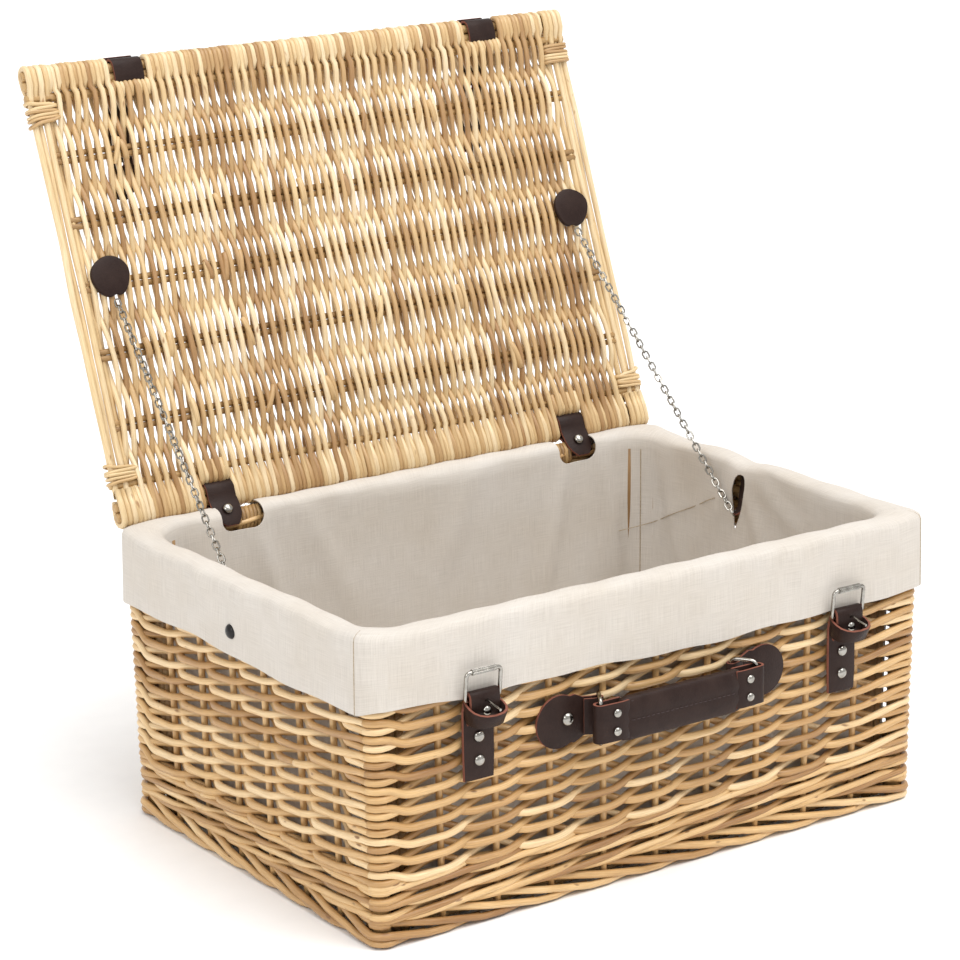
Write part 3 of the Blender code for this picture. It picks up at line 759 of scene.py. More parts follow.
rows = (BACK_RODS[2][0], *PAIRS, FRONT_RODS[2][0])
reach = (BACK_RODS[2][1], *[0.00245] * 5, FRONT_RODS[2][1])
fields = {"left": [], "right": []}
for j, x in enumerate(np.arange(-0.2365, 0.2370, 0.00385)):
    x += rng.normal(0, 0.00025)
    radius = 0.00232 * rng.uniform(0.88, 1.10)
    hinge = any(abs(x - h) < 0.0140 for h in HINGE_X)
    strap = any(abs(x - c) < 0.0165 for c in CLOSING_X)
    sign = 1 if j % 2 else -1
    path = crossing_rod(x, sign, rows, reach, radius, 0.0004, 0.0009,
                        (lap(0, radius, not hinge, x), lap(1, radius, not strap, x)))
    tone = rng.uniform(0.05, 0.95) if rng.random() > 0.10 else rng.uniform(0.0, 0.12)
    fields["left" if x < 0 else "right"].append((on_lid(path), radius, tone))
rods("lid_weave_left", fields["left"], PALE_WILLOW, "lid", sides=8, upright=(1, 0, 0), replaces=["lid_panel"])
rods("lid_weave_right", fields["right"], PALE_WILLOW, "lid", sides=8, upright=(1, 0, 0))

stubs = []
for k in range(22):
    x, row = rng.uniform(-0.215, 0.215), PAIRS[int(rng.integers(0, 5))]
    half, lean = rng.uniform(0.007, 0.011), rng.normal(0, 0.0022)
    s = np.linspace(-half, half, 5)
    line = np.stack((x + lean * s / half, row + s, 0.0062 - 0.9 * (s / half) ** 2 * 0.0022), -1)
    stubs.append((on_lid(line), 0.0024 * rng.uniform(0.85, 1.15), rng.uniform(0.0, 0.5)))
rods("lid_weaver_ends", stubs, PALE_WILLOW, "lid", sides=8, upright=(1, 0, 0))

# %% [markdown]
# ### Sides and bindings of the lid
# A bundle of rods runs up each side of the lid. Near each corner a few turns of thin
# willow bind it to the weave.

# %% Side bundles and bindings
for name, side in (("left", -1), ("right", 1)):
    bundle = []
    for k, x in enumerate((0.2395, 0.2442, 0.2490, 0.2536)):
        s = np.linspace(0.0160, 0.3270, 40)
        drift = wander(40, 0.0006, 4)
        tight = 0.0008 * np.sin(s * 38 + k * 1.8)
        line = np.stack((side * (x + drift), s, tight + (0.0012 if k % 2 else -0.0012)), -1)
        size = 0.0025 * rng.uniform(0.95, 1.08)
        low, high = lap(0, size, True, line[0, 0]), lap(1, size, True, line[-1, 0])
        line = np.vstack((low(line[0]), line, high(line[-1])))
        bundle.append((on_lid(line), size, rng.uniform(0.3, 0.95)))
    rods("lid_side_rods_" + name, bundle, PALE_WILLOW, "lid", sides=8, upright=(1, 0, 0),
         replaces=["lid_side_" + name])
    for place, middle, turns in (("back", 0.0330, 5), ("front", 0.3190, 6)):
        made = []
        for k in range(turns):
            s0 = middle + (k - (turns - 1) / 2) * 0.0027
            low, high, n = 0.2330 + rng.normal(0, 0.0006), 0.2572, 0.0056
            lean = rng.normal(0, 0.0012) + (k - (turns - 1) / 2) * -0.0005
            loop = []
            for a in np.linspace(-150, 215, 26):
                u, v = cos(radians(a)), sin(radians(a))
                x = (low + high) / 2 + (high - low) / 2 * np.sign(u) * abs(u) ** 0.45
                loop.append((side * x, s0 - lean * u, n * np.sign(v) * abs(v) ** 0.6))
            made.append((on_lid(loop), 0.00138 * rng.uniform(0.85, 1.15), rng.uniform(0.1, 0.7)))
        rods(f"lid_binding_{place}_{name}", made, PALE_WILLOW, "lid", sides=8, upright=LID_UP,
             replaces=[f"binding_{place}_{name}"])

# %% [markdown]
# ## The calico liner
# The liner is one bag of calico. It covers the floor and the walls, folds over the rim
# and hangs down outside as a deep cuff. Its cloth is soft, so nothing about it is flat:
# it sags between corners, gathers at the seams and pulls towards the chains. It is
# drawn here as rings from the middle of the floor to the cuff's hem, then each point is
# moved by a few folds. Every fold is a gentle ridge along a short line.

# %% Liner rings
BAG_FOOT, BAG_RIM, CUFF = (0.2342, 0.1522), (0.2390, 0.1565), (0.2594, 0.1761)
RING = 420


def ring(half, radius, count=RING):
    """Points round a rounded rectangle from the front left corner, evenly spaced: x, y, outward x, y."""
    straight = (2 * (half[0] - radius), 2 * (half[1] - radius))
    quarter = radius * pi / 2
    lengths = (straight[0], quarter, straight[1], quarter) * 2
    total = sum(lengths)
    out = []
    for k in range(count):
        d, i = (k + 0.5) / count * total, 0
        while d > lengths[i]:
            d -= lengths[i]
            i += 1
        side, corner = i // 2, i % 2
        way = radians(-90 + 90 * side)
        middle = ((1, -1), (1, 1), (-1, 1), (-1, -1))[side]
        cx, cy = middle[0] * (half[0] - radius), middle[1] * (half[1] - radius)
        if corner:
            way += d / radius
            out.append((cx + radius * cos(way), cy + radius * sin(way), cos(way), sin(way)))
        else:
            run = Vector((-sin(way), cos(way)))
            start = Vector((cx, cy)) - run * straight[side % 2] + radius * Vector((cos(way), sin(way)))
            at = start + run * d
            out.append((at.x, at.y, cos(way), sin(way)))
    return np.array(out)


profile = []                      # half sizes, corner radius, height
walk = 0.0
for k, share in enumerate((0.04, 0.25, 0.5, 0.75, 0.92)):
    profile.append(((BAG_FOOT[0] * share, BAG_FOOT[1] * share), 0.027 * share, 0.0136))
for k in range(27):
    share = k / 26
    half = tuple(f + (r - f) * share for f, r in zip(BAG_FOOT, BAG_RIM))
    profile.append((half, 0.0270, 0.0140 + (0.2270 - 0.0140) * share))
for a in np.linspace(0, 180, 9)[1:-1]:
    grow = (1 - cos(radians(a))) / 2
    half = tuple(f + (r - f) * grow for f, r in zip(BAG_RIM, CUFF))
    profile.append((half, 0.0270 - 0.012 * grow, 0.2278 + 0.0056 * sin(radians(a))))
for k in range(10):
    profile.append((CUFF, 0.0150, 0.2270 - 0.0505 * k / 9))
grid, outward = [], []
for half, radius, z in profile:
    points = ring(half, radius)
    grid.append(np.column_stack((points[:, :2], np.full(RING, z))))
    outward.append(np.column_stack((points[:, 2:], np.zeros(RING))))
grid, outward = np.array(grid), np.array(outward)
FIRST_WALL, TOP, HEM = 5, 35, len(profile) - 1
print("liner rings:", len(profile), "of", RING, "points")

# %% Folds in the cloth


def ridge(points, a, b, width, height):
    """How much a soft fold along the line a-b lifts each point."""
    a, b = np.array(a), np.array(b)
    run = b - a
    t = np.clip(((points - a) @ run) / (run @ run), 0, 1)
    off = np.linalg.norm(points - a - t[..., None] * run, axis=-1)
    return height * np.exp(-(off / width) ** 2) * np.sqrt(np.clip(1 - (2 * t - 1) ** 2 * 0.85, 0, 1))


inside = np.arange(len(profile))[:, None] < TOP - 3
cuff = np.arange(len(profile))[:, None] > TOP
lift = np.zeros(grid.shape[:2])
waves = np.zeros(grid.shape[:2])
for k in range(26):
    direction = rng.normal(0, 1, 3) * (22, 22, 14)
    waves += np.sin(grid @ direction + rng.uniform(0, 7)) / 26 ** 0.5
wall_share = np.clip((grid[..., 2] - 0.014) / 0.06, 0, 1)
lift -= np.where(inside, waves * 0.0011 * wall_share, 0)
lift += np.where(cuff, waves * 0.0006 + 0.0006, 0)
folds = (
    ((0.239, 0.157, 0.149), (0.239, 0.055, 0.198), 0.0040, -0.0022),
    ((0.239, 0.030, 0.220), (0.238, 0.085, 0.150), 0.0090, -0.0040),
    ((0.239, 0.020, 0.215), (0.238, -0.030, 0.120), 0.0080, -0.0035),
    ((0.239, 0.012, 0.224), (0.239, -0.055, 0.190), 0.0070, -0.0035),
    ((0.239, 0.028, 0.168), (0.238, 0.020, 0.090), 0.0090, -0.0030),
    ((0.239, 0.130, 0.224), (0.238, 0.100, 0.120), 0.0110, -0.0030),
    ((-0.185, 0.157, 0.218), (-0.196, 0.156, 0.120), 0.0080, -0.0035),
    ((-0.147, 0.157, 0.220), (-0.120, 0.156, 0.130), 0.0085, -0.0030),
    ((-0.100, 0.157, 0.222), (-0.060, 0.156, 0.140), 0.0100, -0.0022),
    ((0.156, 0.157, 0.220), (0.135, 0.156, 0.120), 0.0075, -0.0032),
    ((0.196, 0.157, 0.216), (0.212, 0.156, 0.110), 0.0070, -0.0035),
    ((0.060, 0.157, 0.226), (0.030, 0.156, 0.150), 0.0100, -0.0020),
    ((-0.240, 0.027, 0.220), (-0.238, 0.080, 0.150), 0.0080, -0.0035),
    ((-0.240, 0.026, 0.218), (-0.238, -0.030, 0.140), 0.0080, -0.0030),
    ((-0.120, -0.157, 0.220), (-0.160, -0.155, 0.120), 0.0100, -0.0030),
    ((0.090, -0.157, 0.220), (0.120, -0.155, 0.120), 0.0100, -0.0030),
)
for a, b, width, height in folds:
    lift += np.where(inside, ridge(grid, a, b, width, height), 0)
cuff_folds = (
    ((-0.259, 0.060, 0.232), (-0.259, 0.020, 0.196), 0.0080, 0.0022),
    ((-0.259, -0.020, 0.232), (-0.259, 0.002, 0.198), 0.0070, 0.0020),
    ((-0.259, 0.110, 0.232), (-0.259, 0.130, 0.190), 0.0090, 0.0018),
    ((-0.235, -0.176, 0.231), (-0.215, -0.176, 0.185), 0.0080, 0.0018),
    ((0.120, -0.176, 0.231), (0.150, -0.176, 0.190), 0.0100, 0.0015),
    ((-0.060, -0.176, 0.231), (-0.040, -0.176, 0.190), 0.0110, 0.0012),
)
for a, b, width, height in cuff_folds:
    lift += np.where(cuff, ridge(grid, a, b, width, height), 0)
grid += outward * lift[..., None]

# %% Rim, corners and hem
rim_share = np.clip((grid[..., 2] - 0.150) / 0.075, 0, 1) ** 2
x, y = grid[..., 0], grid[..., 1]
tilt = -0.0014 * y / 0.17 + 0.0036 * np.clip((y - 0.12) / 0.04, 0, 1)
bunch = 0.0022 * np.exp(-((x - 0.25) ** 2 + (y + 0.008) ** 2) / 0.022 ** 2)
bunch += 0.0016 * np.exp(-((x - 0.25) ** 2 + (y - 0.065) ** 2) / 0.020 ** 2)
bunch -= 0.0030 * np.exp(-((x - 0.25) ** 2 + (y - 0.028) ** 2) / 0.012 ** 2)
corner = 0.0026 * np.exp(-((x + 0.25) ** 2 + (y + 0.168) ** 2) / 0.018 ** 2)
corner += 0.0016 * np.exp(-((x - 0.25) ** 2 + (y + 0.168) ** 2) / 0.018 ** 2)
ripple = 0.0006 * np.sin(x * 61 + 1.0) * np.cos(y * 47) + 0.0004 * np.sin(x * 143 + y * 120)
grid[..., 2] += (tilt + bunch + corner + ripple) * rim_share
hem = np.where(cuff, np.clip((0.2270 - grid[..., 2]) / 0.0505, 0, 1), 0)
wave = 0.0012 * np.sin(x * 31 + 2.0 + y * 26) + 0.0008 * np.sin(x * 83 + y * 71)
at_front = np.clip((-y - 0.165) / 0.01, 0, 1)
hem_z = np.interp(x, (-0.26, -0.19, 0.0, 0.15, 0.26), (0.0038, 0.0010, -0.0030, -0.0040, 0.0005))
grid[..., 2] += hem * (wave + at_front * hem_z)
grid += outward * (hem * 0.0008)[..., None]

# %% Sew the liner
verts = grid.reshape(-1, 3).tolist() + [[0, 0, 0.0136]]
faces, uvs = [], []
steps = np.linalg.norm(np.diff(grid, axis=0), axis=2).mean(1)
along = np.concatenate(([0], np.cumsum(steps)))
girth = np.linalg.norm(np.diff(grid[TOP], axis=0, append=grid[TOP][:1]), axis=1)
around = np.concatenate(([0], np.cumsum(girth)))
for r in range(len(profile) - 1):
    for k in range(RING):
        j = (k + 1) % RING
        faces.append((r * RING + k, r * RING + j, (r + 1) * RING + j, (r + 1) * RING + k))
        if r < FIRST_WALL:
            uvs += [tuple(grid[a, b, :2]) for a, b in ((r, k), (r, j), (r + 1, j), (r + 1, k))]
        else:
            uvs += [(around[k], along[r]), (around[k + 1], along[r]),
                    (around[k + 1], along[r + 1]), (around[k], along[r + 1])]
for k in range(RING):
    j = (k + 1) % RING
    faces.append((j, k, len(verts) - 1))
    uvs += [(0, 0), tuple(grid[0, j, :2]), tuple(grid[0, k, :2])]
mesh = bpy.data.meshes.new("liner_cloth")
mesh.from_pydata(verts, [], faces)
mesh.uv_layers.new(name="grain").data.foreach_set("uv", np.array(uvs, np.float32).ravel())
mesh.materials.append(CALICO)
liner = bpy.data.objects.new("liner_cloth", mesh)
bpy.context.scene.collection.objects.link(liner)
only(liner)
bpy.ops.object.mode_set(mode="EDIT")
bpy.ops.mesh.select_all(action="SELECT")
bpy.ops.mesh.normals_make_consistent(inside=False)
bpy.ops.object.mode_set(mode="OBJECT")
print("liner faces:", len(mesh.polygons))


# %% Cut the notches and slits
def cutter(name, points, thick):
    """A closed outline in a wall's plane, pushed through it along one direction."""
    nothing_selected()
    bpy.ops.mesh.primitive_circle_add(vertices=len(points), fill_type="NGON")
    obj = new_piece(name)
    for vertex, point in zip(obj.data.vertices, points):
        vertex.co = point
    only(obj)
    bpy.ops.object.mode_set(mode="EDIT")
    bpy.ops.mesh.select_all(action="SELECT")
    bpy.ops.mesh.extrude_region_move(TRANSFORM_OT_translate={"value": thick})
    bpy.ops.mesh.select_all(action="SELECT")
    bpy.ops.mesh.normals_make_consistent(inside=False)
    bpy.ops.object.mode_set(mode="OBJECT")
    return obj


modify(liner, "SOLIDIFY", thickness=0.0008, offset=0.0)
holes = []
for x in (HINGE_X[0] + 0.0085, HINGE_X[1] - 0.0075):
    outline = [(x + 0.0190, 0.1400, 0.2600), (x - 0.0190, 0.1400, 0.2600)]
    for cx, start in ((x - 0.0100, 180), (x + 0.0100, 270)):
        for a in range(start, start + 91, 15):
            outline.append((cx + 0.0090 * cos(radians(a)), 0.1400, 0.2275 + 0.0090 * sin(radians(a))))
    holes.append(cutter("notch", outline, (0, 0.060, 0)))
for side in (-1, 1):
    outline = []
    for k in range(24):
        a = 2 * pi * k / 24
        z = 0.2000 + 0.0240 * cos(a)
        wide = 0.0062 * abs(sin(a)) ** 0.8 * (1 + 0.70 * cos(a))
        outline.append((side * 0.2250, 0.0280 - 0.0035 * cos(a) + wide * (1 if sin(a) > 0 else -1), z))
    holes.append(cutter("slit", outline, (side * 0.0215, 0, 0)))
for hole in holes:
    modify(liner, "BOOLEAN", operation="DIFFERENCE", solver="EXACT", object=hole)
    bpy.data.objects.remove(hole, do_unlink=True)
smooth(liner, 50)
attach(liner, "basket")
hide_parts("liner")
print("liner with its openings:", len(liner.data.polygons), "faces")

# %% [markdown]
# ### Seams of the liner
# The bag is sewn from panels. Each seam shows as a thin puckered line, so a fine ridge of cloth follows each inner
# corner, the cuff's corners and the pieced end wall. The ridge is coloured darker than the cloth, as painted shade
# of the pucker.

# %% Seam lines
def cloth_line(points, out):
    """A smooth line on the right-hand wall of the cloth, moved in or out of it."""
    flat = grid[FIRST_WALL:].reshape(-1, 3)
    flat = flat[(flat[:, 0] > 0.20) & (flat[:, 0] < 0.245)]
    points = np.asarray(points, float)
    found = []
    for p in points:
        away = ((flat[:, 1:] - p[1:]) ** 2).sum(1)
        near = np.argsort(away)[:4]
        found.append(flat[near, 0].min())
    smooth_x = np.polyval(np.polyfit(points[:, 1], found, 5), points[:, 1])
    return np.stack((smooth_x + out, points[:, 1], points[:, 2]), -1)


def column(x, y, low, high, out):
    """A seam that climbs the cloth nearest to a corner."""
    rows = range(low, high)
    k = int(np.argmin(((grid[low][:, :2] - (x, y)) ** 2).sum(1)))
    return np.array([grid[r, k] + outward[r, k] * out for r in rows])


seams = []
for x, y in ((0.2320, 0.1500), (-0.2320, 0.1500), (0.2320, -0.1500), (-0.2320, -0.1500)):
    seams.append((column(x, y, FIRST_WALL + 1, TOP - 4, -0.0005), 0.00045, 0.5))
for x, y in ((0.255, 0.172), (-0.255, 0.172), (0.255, -0.172), (-0.255, -0.172)):
    seams.append((column(x, y, TOP - 3, HEM + 1, 0.0004), 0.00040, 0.5))
t = np.linspace(0, 1, 26)[:, None]
pieced = np.array((0.2385, 0.150, 0.152)) * (1 - t) + np.array((0.2385, 0.055, 0.198)) * t
seams.append((cloth_line(pieced, -0.0009), 0.00038, 0.5))
sewn = rods("liner_seams", seams, SEAM_SHADE, "basket", sides=6, upright=(0.5, 0.3, 0.8))

# %% [markdown]
# ## Leather straps
# A strap starts as a narrow plane. Its last edge is extruded step by step along a path,
# as it would be by hand, then the sheet is thickened and its corners are eased. The
# thickened rim takes the raw edge finish, because that is where the hide was cut.

# %% Strap and patch helpers
HIDE = 0.0022


def finish_leather(obj, thick, body, replaces=(), ease=0.00035):
    obj.data.materials.clear()
    obj.data.materials.append(DARK_LEATHER)
    obj.data.materials.append(RAW_EDGE)
    modify(obj, "SOLIDIFY", thickness=thick, offset=0.0, use_even_offset=True, material_offset_rim=1)
    modify(obj, "BEVEL", width=ease, segments=2, limit_method="ANGLE", angle_limit=radians(40))
    smooth(obj, 45)
    if body:
        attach(obj, body)
    if replaces:
        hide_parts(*replaces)
    print(f"{obj.name}: {len(obj.data.polygons)} faces")
    return obj


def strap(name, path, widths, body, across=(1, 0, 0), thick=HIDE, replaces=(), finish=True):
    """Extrudes an edge along a path of points. A width for each point, or one for all."""
    path, across = [Vector(p) for p in path], Vector(across)
    widths = [widths] * len(path) if isinstance(widths, float) else widths
    nothing_selected()
    bpy.ops.mesh.primitive_plane_add(size=1)
    obj = new_piece(name)
    corners = ((0, -1), (0, 1), (1, -1), (1, 1))
    for vertex, (k, side) in zip(obj.data.vertices, corners):
        vertex.co = path[k] + across * side * widths[k] / 2
    only(obj)
    bpy.ops.object.mode_set(mode="EDIT")
    bpy.ops.mesh.select_mode(type="VERT")
    bpy.ops.mesh.select_all(action="DESELECT")
    shape = bmesh.from_edit_mesh(obj.data)
    shape.verts.ensure_lookup_table()
    for k in (2, 3):
        shape.verts[k].select = True
    shape.select_flush(True)
    bmesh.update_edit_mesh(obj.data)
    for k in range(2, len(path)):
        step = path[k] - path[k - 1]
        bpy.ops.mesh.extrude_region_move(TRANSFORM_OT_translate={"value": step})
        if abs(widths[k] - widths[k - 1]) > 1e-7:
            grow = widths[k] / widths[k - 1]
            size = [1 + (grow - 1) * abs(c) for c in across]
            bpy.ops.transform.resize(value=size, center_override=path[k])
    bpy.ops.mesh.select_all(action="SELECT")
    bpy.ops.mesh.normals_make_consistent(inside=False)
    bpy.ops.object.mode_set(mode="OBJECT")
    return finish_leather(obj, thick, body, replaces) if finish else obj


def patch(name, outline, body, thick=HIDE, replaces=(), finish=True):
    """A flat piece of leather, cut to an outline."""
    nothing_selected()
    bpy.ops.mesh.primitive_circle_add(vertices=len(outline), fill_type="NGON")
    obj = new_piece(name)
    for vertex, point in zip(obj.data.vertices, outline):
        vertex.co = point
    return finish_leather(obj, thick, body, replaces) if finish else obj


def bend(centre, radius, start, stop, steps):
    """Points (u, v) on an arc between two angles in degrees."""
    return [(centre[0] + radius * cos(radians(a)), centre[1] + radius * sin(radians(a)))
            for a in np.linspace(start, stop, steps + 1)]


# %% [markdown]
# ### Rivets
# A rivet's cap is a low dome with a thin turned edge. One is shaped from a sphere cut
# in half, and the rest are copies of it, each turned to stand on its own surface.

# %% Model one rivet
nothing_selected()
bpy.ops.mesh.primitive_uv_sphere_add(segments=20, ring_count=12, radius=1.0)
cap = new_piece("rivet_pattern")
bpy.ops.object.mode_set(mode="EDIT")
bpy.ops.mesh.select_all(action="SELECT")
bpy.ops.mesh.bisect(plane_co=(0, 0, 0.05), plane_no=(0, 0, 1), clear_inner=True, use_fill=True)
bpy.ops.mesh.select_all(action="SELECT")
bpy.ops.transform.resize(value=(1, 1, 0.52))
bpy.ops.object.mode_set(mode="OBJECT")
for vertex in cap.data.vertices:
    flat = sqrt(vertex.co.x ** 2 + vertex.co.y ** 2)
    vertex.co.z = max(0.0, vertex.co.z) * (1 - 0.25 * flat ** 6)
smooth(cap, 50)
print("rivet cap:", len(cap.data.polygons), "faces")


def rivet(name, place, normal, radius, body, finish=None, replaces=()):
    """A copy of the cap, standing on the surface at a place."""
    made = cap.copy()
    made.data = cap.data.copy()
    made.name = made.data.name = name
    bpy.context.scene.collection.objects.link(made)
    turn = Vector(normal).to_track_quat("Z", "Y").to_matrix().to_4x4()
    made.data.transform(Matrix.Translation(place) @ turn @ Matrix.Diagonal((radius, radius, radius, 1)))
    made.data.materials.clear()
    made.data.materials.append(finish or NICKEL)
    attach(made, body)
    if replaces:
        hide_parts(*replaces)
    return made


# %% [markdown]
# ### Bent wire
# Rings, buckle frames and prongs are bent from plated wire. Each is a curve through its
# corners with a round section, turned into a mesh once its bends are eased.

# %% Wire helper
def eased_corners(points, radius, closed, steps=5):
    """Replaces each corner of a path by a short arc."""
    points = [Vector(p) for p in points]
    out, total = [], len(points)
    for k, p in enumerate(points):
        if not closed and k in (0, total - 1):
            out.append(p)
            continue
        a = (points[k - 1] - p).normalized()
        b = (points[(k + 1) % total] - p).normalized()
        for i in range(steps + 1):
            t = i / steps
            start, stop = p + a * radius, p + b * radius
            out.append((1 - t) ** 2 * start + 2 * t * (1 - t) * p + t * t * stop)
    return out


def wire(name, points, radius, closed, body, replaces=(), smooth_steps=3):
    nothing_selected()
    curve = bpy.data.curves.new(name, "CURVE")
    curve.dimensions, curve.bevel_depth, curve.bevel_resolution = "3D", radius, 3
    curve.use_fill_caps = True
    line = curve.splines.new("POLY")
    line.points.add(len(points) - 1)
    for item, p in zip(line.points, points):
        item.co = (*p, 1)
    line.use_cyclic_u = closed
    obj = bpy.data.objects.new(name, curve)
    bpy.context.scene.collection.objects.link(obj)
    only(obj)
    bpy.ops.object.convert(target="MESH")
    obj = bpy.context.object
    obj.name = obj.data.name = name
    obj.data.materials.clear()
    obj.data.materials.append(NICKEL)
    bpy.ops.object.mode_set(mode="EDIT")
    bpy.ops.mesh.select_all(action="SELECT")
    bpy.ops.mesh.remove_doubles(threshold=0.00001)
    bpy.ops.mesh.normals_make_consistent(inside=False)
    bpy.ops.object.mode_set(mode="OBJECT")
    smooth(obj, 50)
    if body:
        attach(obj, body)
    if replaces:
        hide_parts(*replaces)
    return obj


# %% [markdown]
# ## Hinges
# Each hinge is a leather strap folded round the lid's two edge rods and riveted to itself over the basket's rim. On
# the basket it bends as the lid shuts. Here it is one piece, shaped for the open lid, that follows the basket at
# its tip and the lid round the rods, and it is attached to neither body.

# %% Hinge straps
def lid_side_view(s, n):
    p = on_lid((0, s, n))[0]
    return float(p[1]), float(p[2])


hinge_path = [(0.1572, 0.2226), (0.1602, 0.2263), (0.1634, 0.2301), (0.1666, 0.2340), (0.1697, 0.2377)]
hinge_path += [lid_side_view(s, 0.0060) for s in (-0.0008, 0.0036, 0.0079)]
hinge_path += [lid_side_view(s, n) for s, n in bend((0.0079, 0), 0.0056, 65, -90, 7)]
hinge_path += [lid_side_view(-0.0054 * cos(radians(a)), -0.0054 * sin(radians(a)))
               for a in (90, 65, 40, 15, -15)]
hinge_path += [(0.1716, 0.2341), (0.1684, 0.2316), (0.1655, 0.2280), (0.1642, 0.2255), (0.1634, 0.2215)]
tip = [0.0110, 0.0190, 0.0236] + [0.0250] * (len(hinge_path) - 3)
for name, x in zip(("left", "right"), HINGE_X):
    obj = strap("hinge_leather_" + name, [(x, y, z) for y, z in hinge_path], tip, None,
                thick=0.0020, replaces=["hinge_strap_" + name])
    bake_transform(obj)
    rivet("hinge_cap_" + name, (x, 0.1648, 0.2346), (0, -0.76, 0.65), 0.0043, "basket",
          replaces=["hinge_rivet_" + name])

# %% [markdown]
# ## Loops and closing straps
# Two wide loops hold the closing straps to the lid's front edge. The straps hang down
# behind the open lid, and come over to the buckles when it is shut.

# %% Lid loops and closing straps
for name, x in zip(("left", "right"), CLOSING_X):
    section = [(0.3380, -0.0068)] + bend((0.3490, 0), 0.0062, -90, 90, 10)
    section += [(0.3452, 0.0063), (0.3410, 0.0061)] + bend((0.3408, 0), 0.0060, 100, 262, 8)
    path = [(x, *lid_side_view(s, n)) for s, n in section]
    strap("lid_loop_" + name, path, 0.0262, "lid", thick=0.0021, replaces=["strap_loop_" + name])
    rivet("loop_cap_" + name, on_lid((x, 0.3440, -0.0075))[0], (0, 0.9354, -0.3535), 0.0040, "lid")
    top = on_lid_vector(x, 0.3550, -0.0084)
    half = 0.0120
    drop = [(-half, 0.004), (-half, -0.098), (-half * 0.86, -0.104), (-half * 0.5, -0.1095), (0, -0.112),
            (half * 0.5, -0.1095), (half * 0.86, -0.104), (half, -0.098), (half, 0.004)]
    obj = patch("closing_leather_" + name, [(x + u, top.y, top.z + v) for u, v in drop],
                None, finish=False)
    modify(obj, "SOLIDIFY", thickness=0.0022, offset=0.0, material_offset_rim=1)
    for rise in (0.016, 0.030, 0.044, 0.058):
        nothing_selected()
        bpy.ops.mesh.primitive_cylinder_add(vertices=16, radius=0.0018, depth=0.02,
                                            location=(x, top.y, top.z - 0.112 + rise),
                                            rotation=(pi / 2, 0, 0))
        punch = new_piece("punch")
        modify(obj, "BOOLEAN", operation="DIFFERENCE", solver="EXACT", object=punch)
        bpy.data.objects.remove(punch, do_unlink=True)
    obj.data.materials.clear()
    obj.data.materials.append(DARK_LEATHER)
    obj.data.materials.append(RAW_EDGE)
    for face in obj.data.polygons:
        face.material_index = 0 if abs(face.normal.y) > 0.7 else 1
    modify(obj, "BEVEL", width=0.0003, segments=2, limit_method="ANGLE", angle_limit=radians(40))
    smooth(obj, 45)
    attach(obj, "closing_strap_" + name)
    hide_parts("closing_strap_" + name)

# %% [markdown]
# ## Buckles
# A strap is folded over the buckle's bar and riveted to the wall. In front of it stands
# a leather keeper for the loose end. The wire frame carries a knurled roller.

# %% Buckle straps and keepers
BAR_Y, BAR_Z, PLATE_Y = -0.1822, (0.1750, 0.1695), -0.1760
for name, x, z in zip(("left", "right"), CLOSING_X, BAR_Z):
    path = [(x, PLATE_Y, z - 0.0620), (x, PLATE_Y - 0.0002, z - 0.0450), (x, PLATE_Y, z - 0.0280),
            (x, PLATE_Y, z - 0.0090)]
    path += [(x, y, z + 0.0018 + (w - z) * 1.35) for y, w in bend((BAR_Y, z), 0.0032, 25, 180, 9)]
    path += [(x, BAR_Y - 0.0034, z - 0.0060), (x, BAR_Y - 0.0020, z - 0.0125), (x, BAR_Y + 0.0022, z - 0.0180)]
    widths = [0.0250, 0.0262] + [0.0262] * 2 + [0.0250] * 10 + [0.0245, 0.0240, 0.0240]
    strap("buckle_leather_" + name, path, widths, "basket", thick=0.0028, replaces=["buckle_strap_" + name])
    for place, drop in (("top", 0.0295), ("bottom", 0.0475)):
        rivet(f"buckle_cap_{place}_{name}", (x, PLATE_Y - 0.0012, z - drop), (0, -1, 0), 0.0044, "basket",
              replaces=[f"buckle_rivet_{place}_{name}"])
    rivet("keeper_cap_" + name, (x + 0.001, BAR_Y - 0.0040, z - 0.0078), (0, -1, 0.15), 0.0036, "basket")
    loop = [(-0.0128, -0.1786), (-0.0142, -0.1830), (-0.0146, -0.1880), (-0.0138, -0.1925),
            (-0.0112, -0.1962), (-0.0070, -0.1985), (0.0, -0.1994), (0.0070, -0.1985), (0.0112, -0.1962),
            (0.0138, -0.1925), (0.0146, -0.1880), (0.0142, -0.1830), (0.0128, -0.1786)]
    path = [(x + u, v, z - 0.0080 + 0.34 * (v + 0.1786)) for u, v in loop]
    keeper = strap("keeper_leather_" + name, path, 0.0150, None, across=(0, 0, 1), finish=False)
    for vertex in keeper.data.vertices:
        front = min(1.0, max(0.0, (-0.1786 - vertex.co.y) / 0.0208))
        if vertex.co.z < z - 0.0080 + 0.34 * (vertex.co.y + 0.1786):
            vertex.co.z += 0.0050 * front
            vertex.co.y += 0.0052 * front
            vertex.co.x += (x - vertex.co.x) * 0.10
    finish_leather(keeper, 0.0020, "basket", ["keeper_" + name])

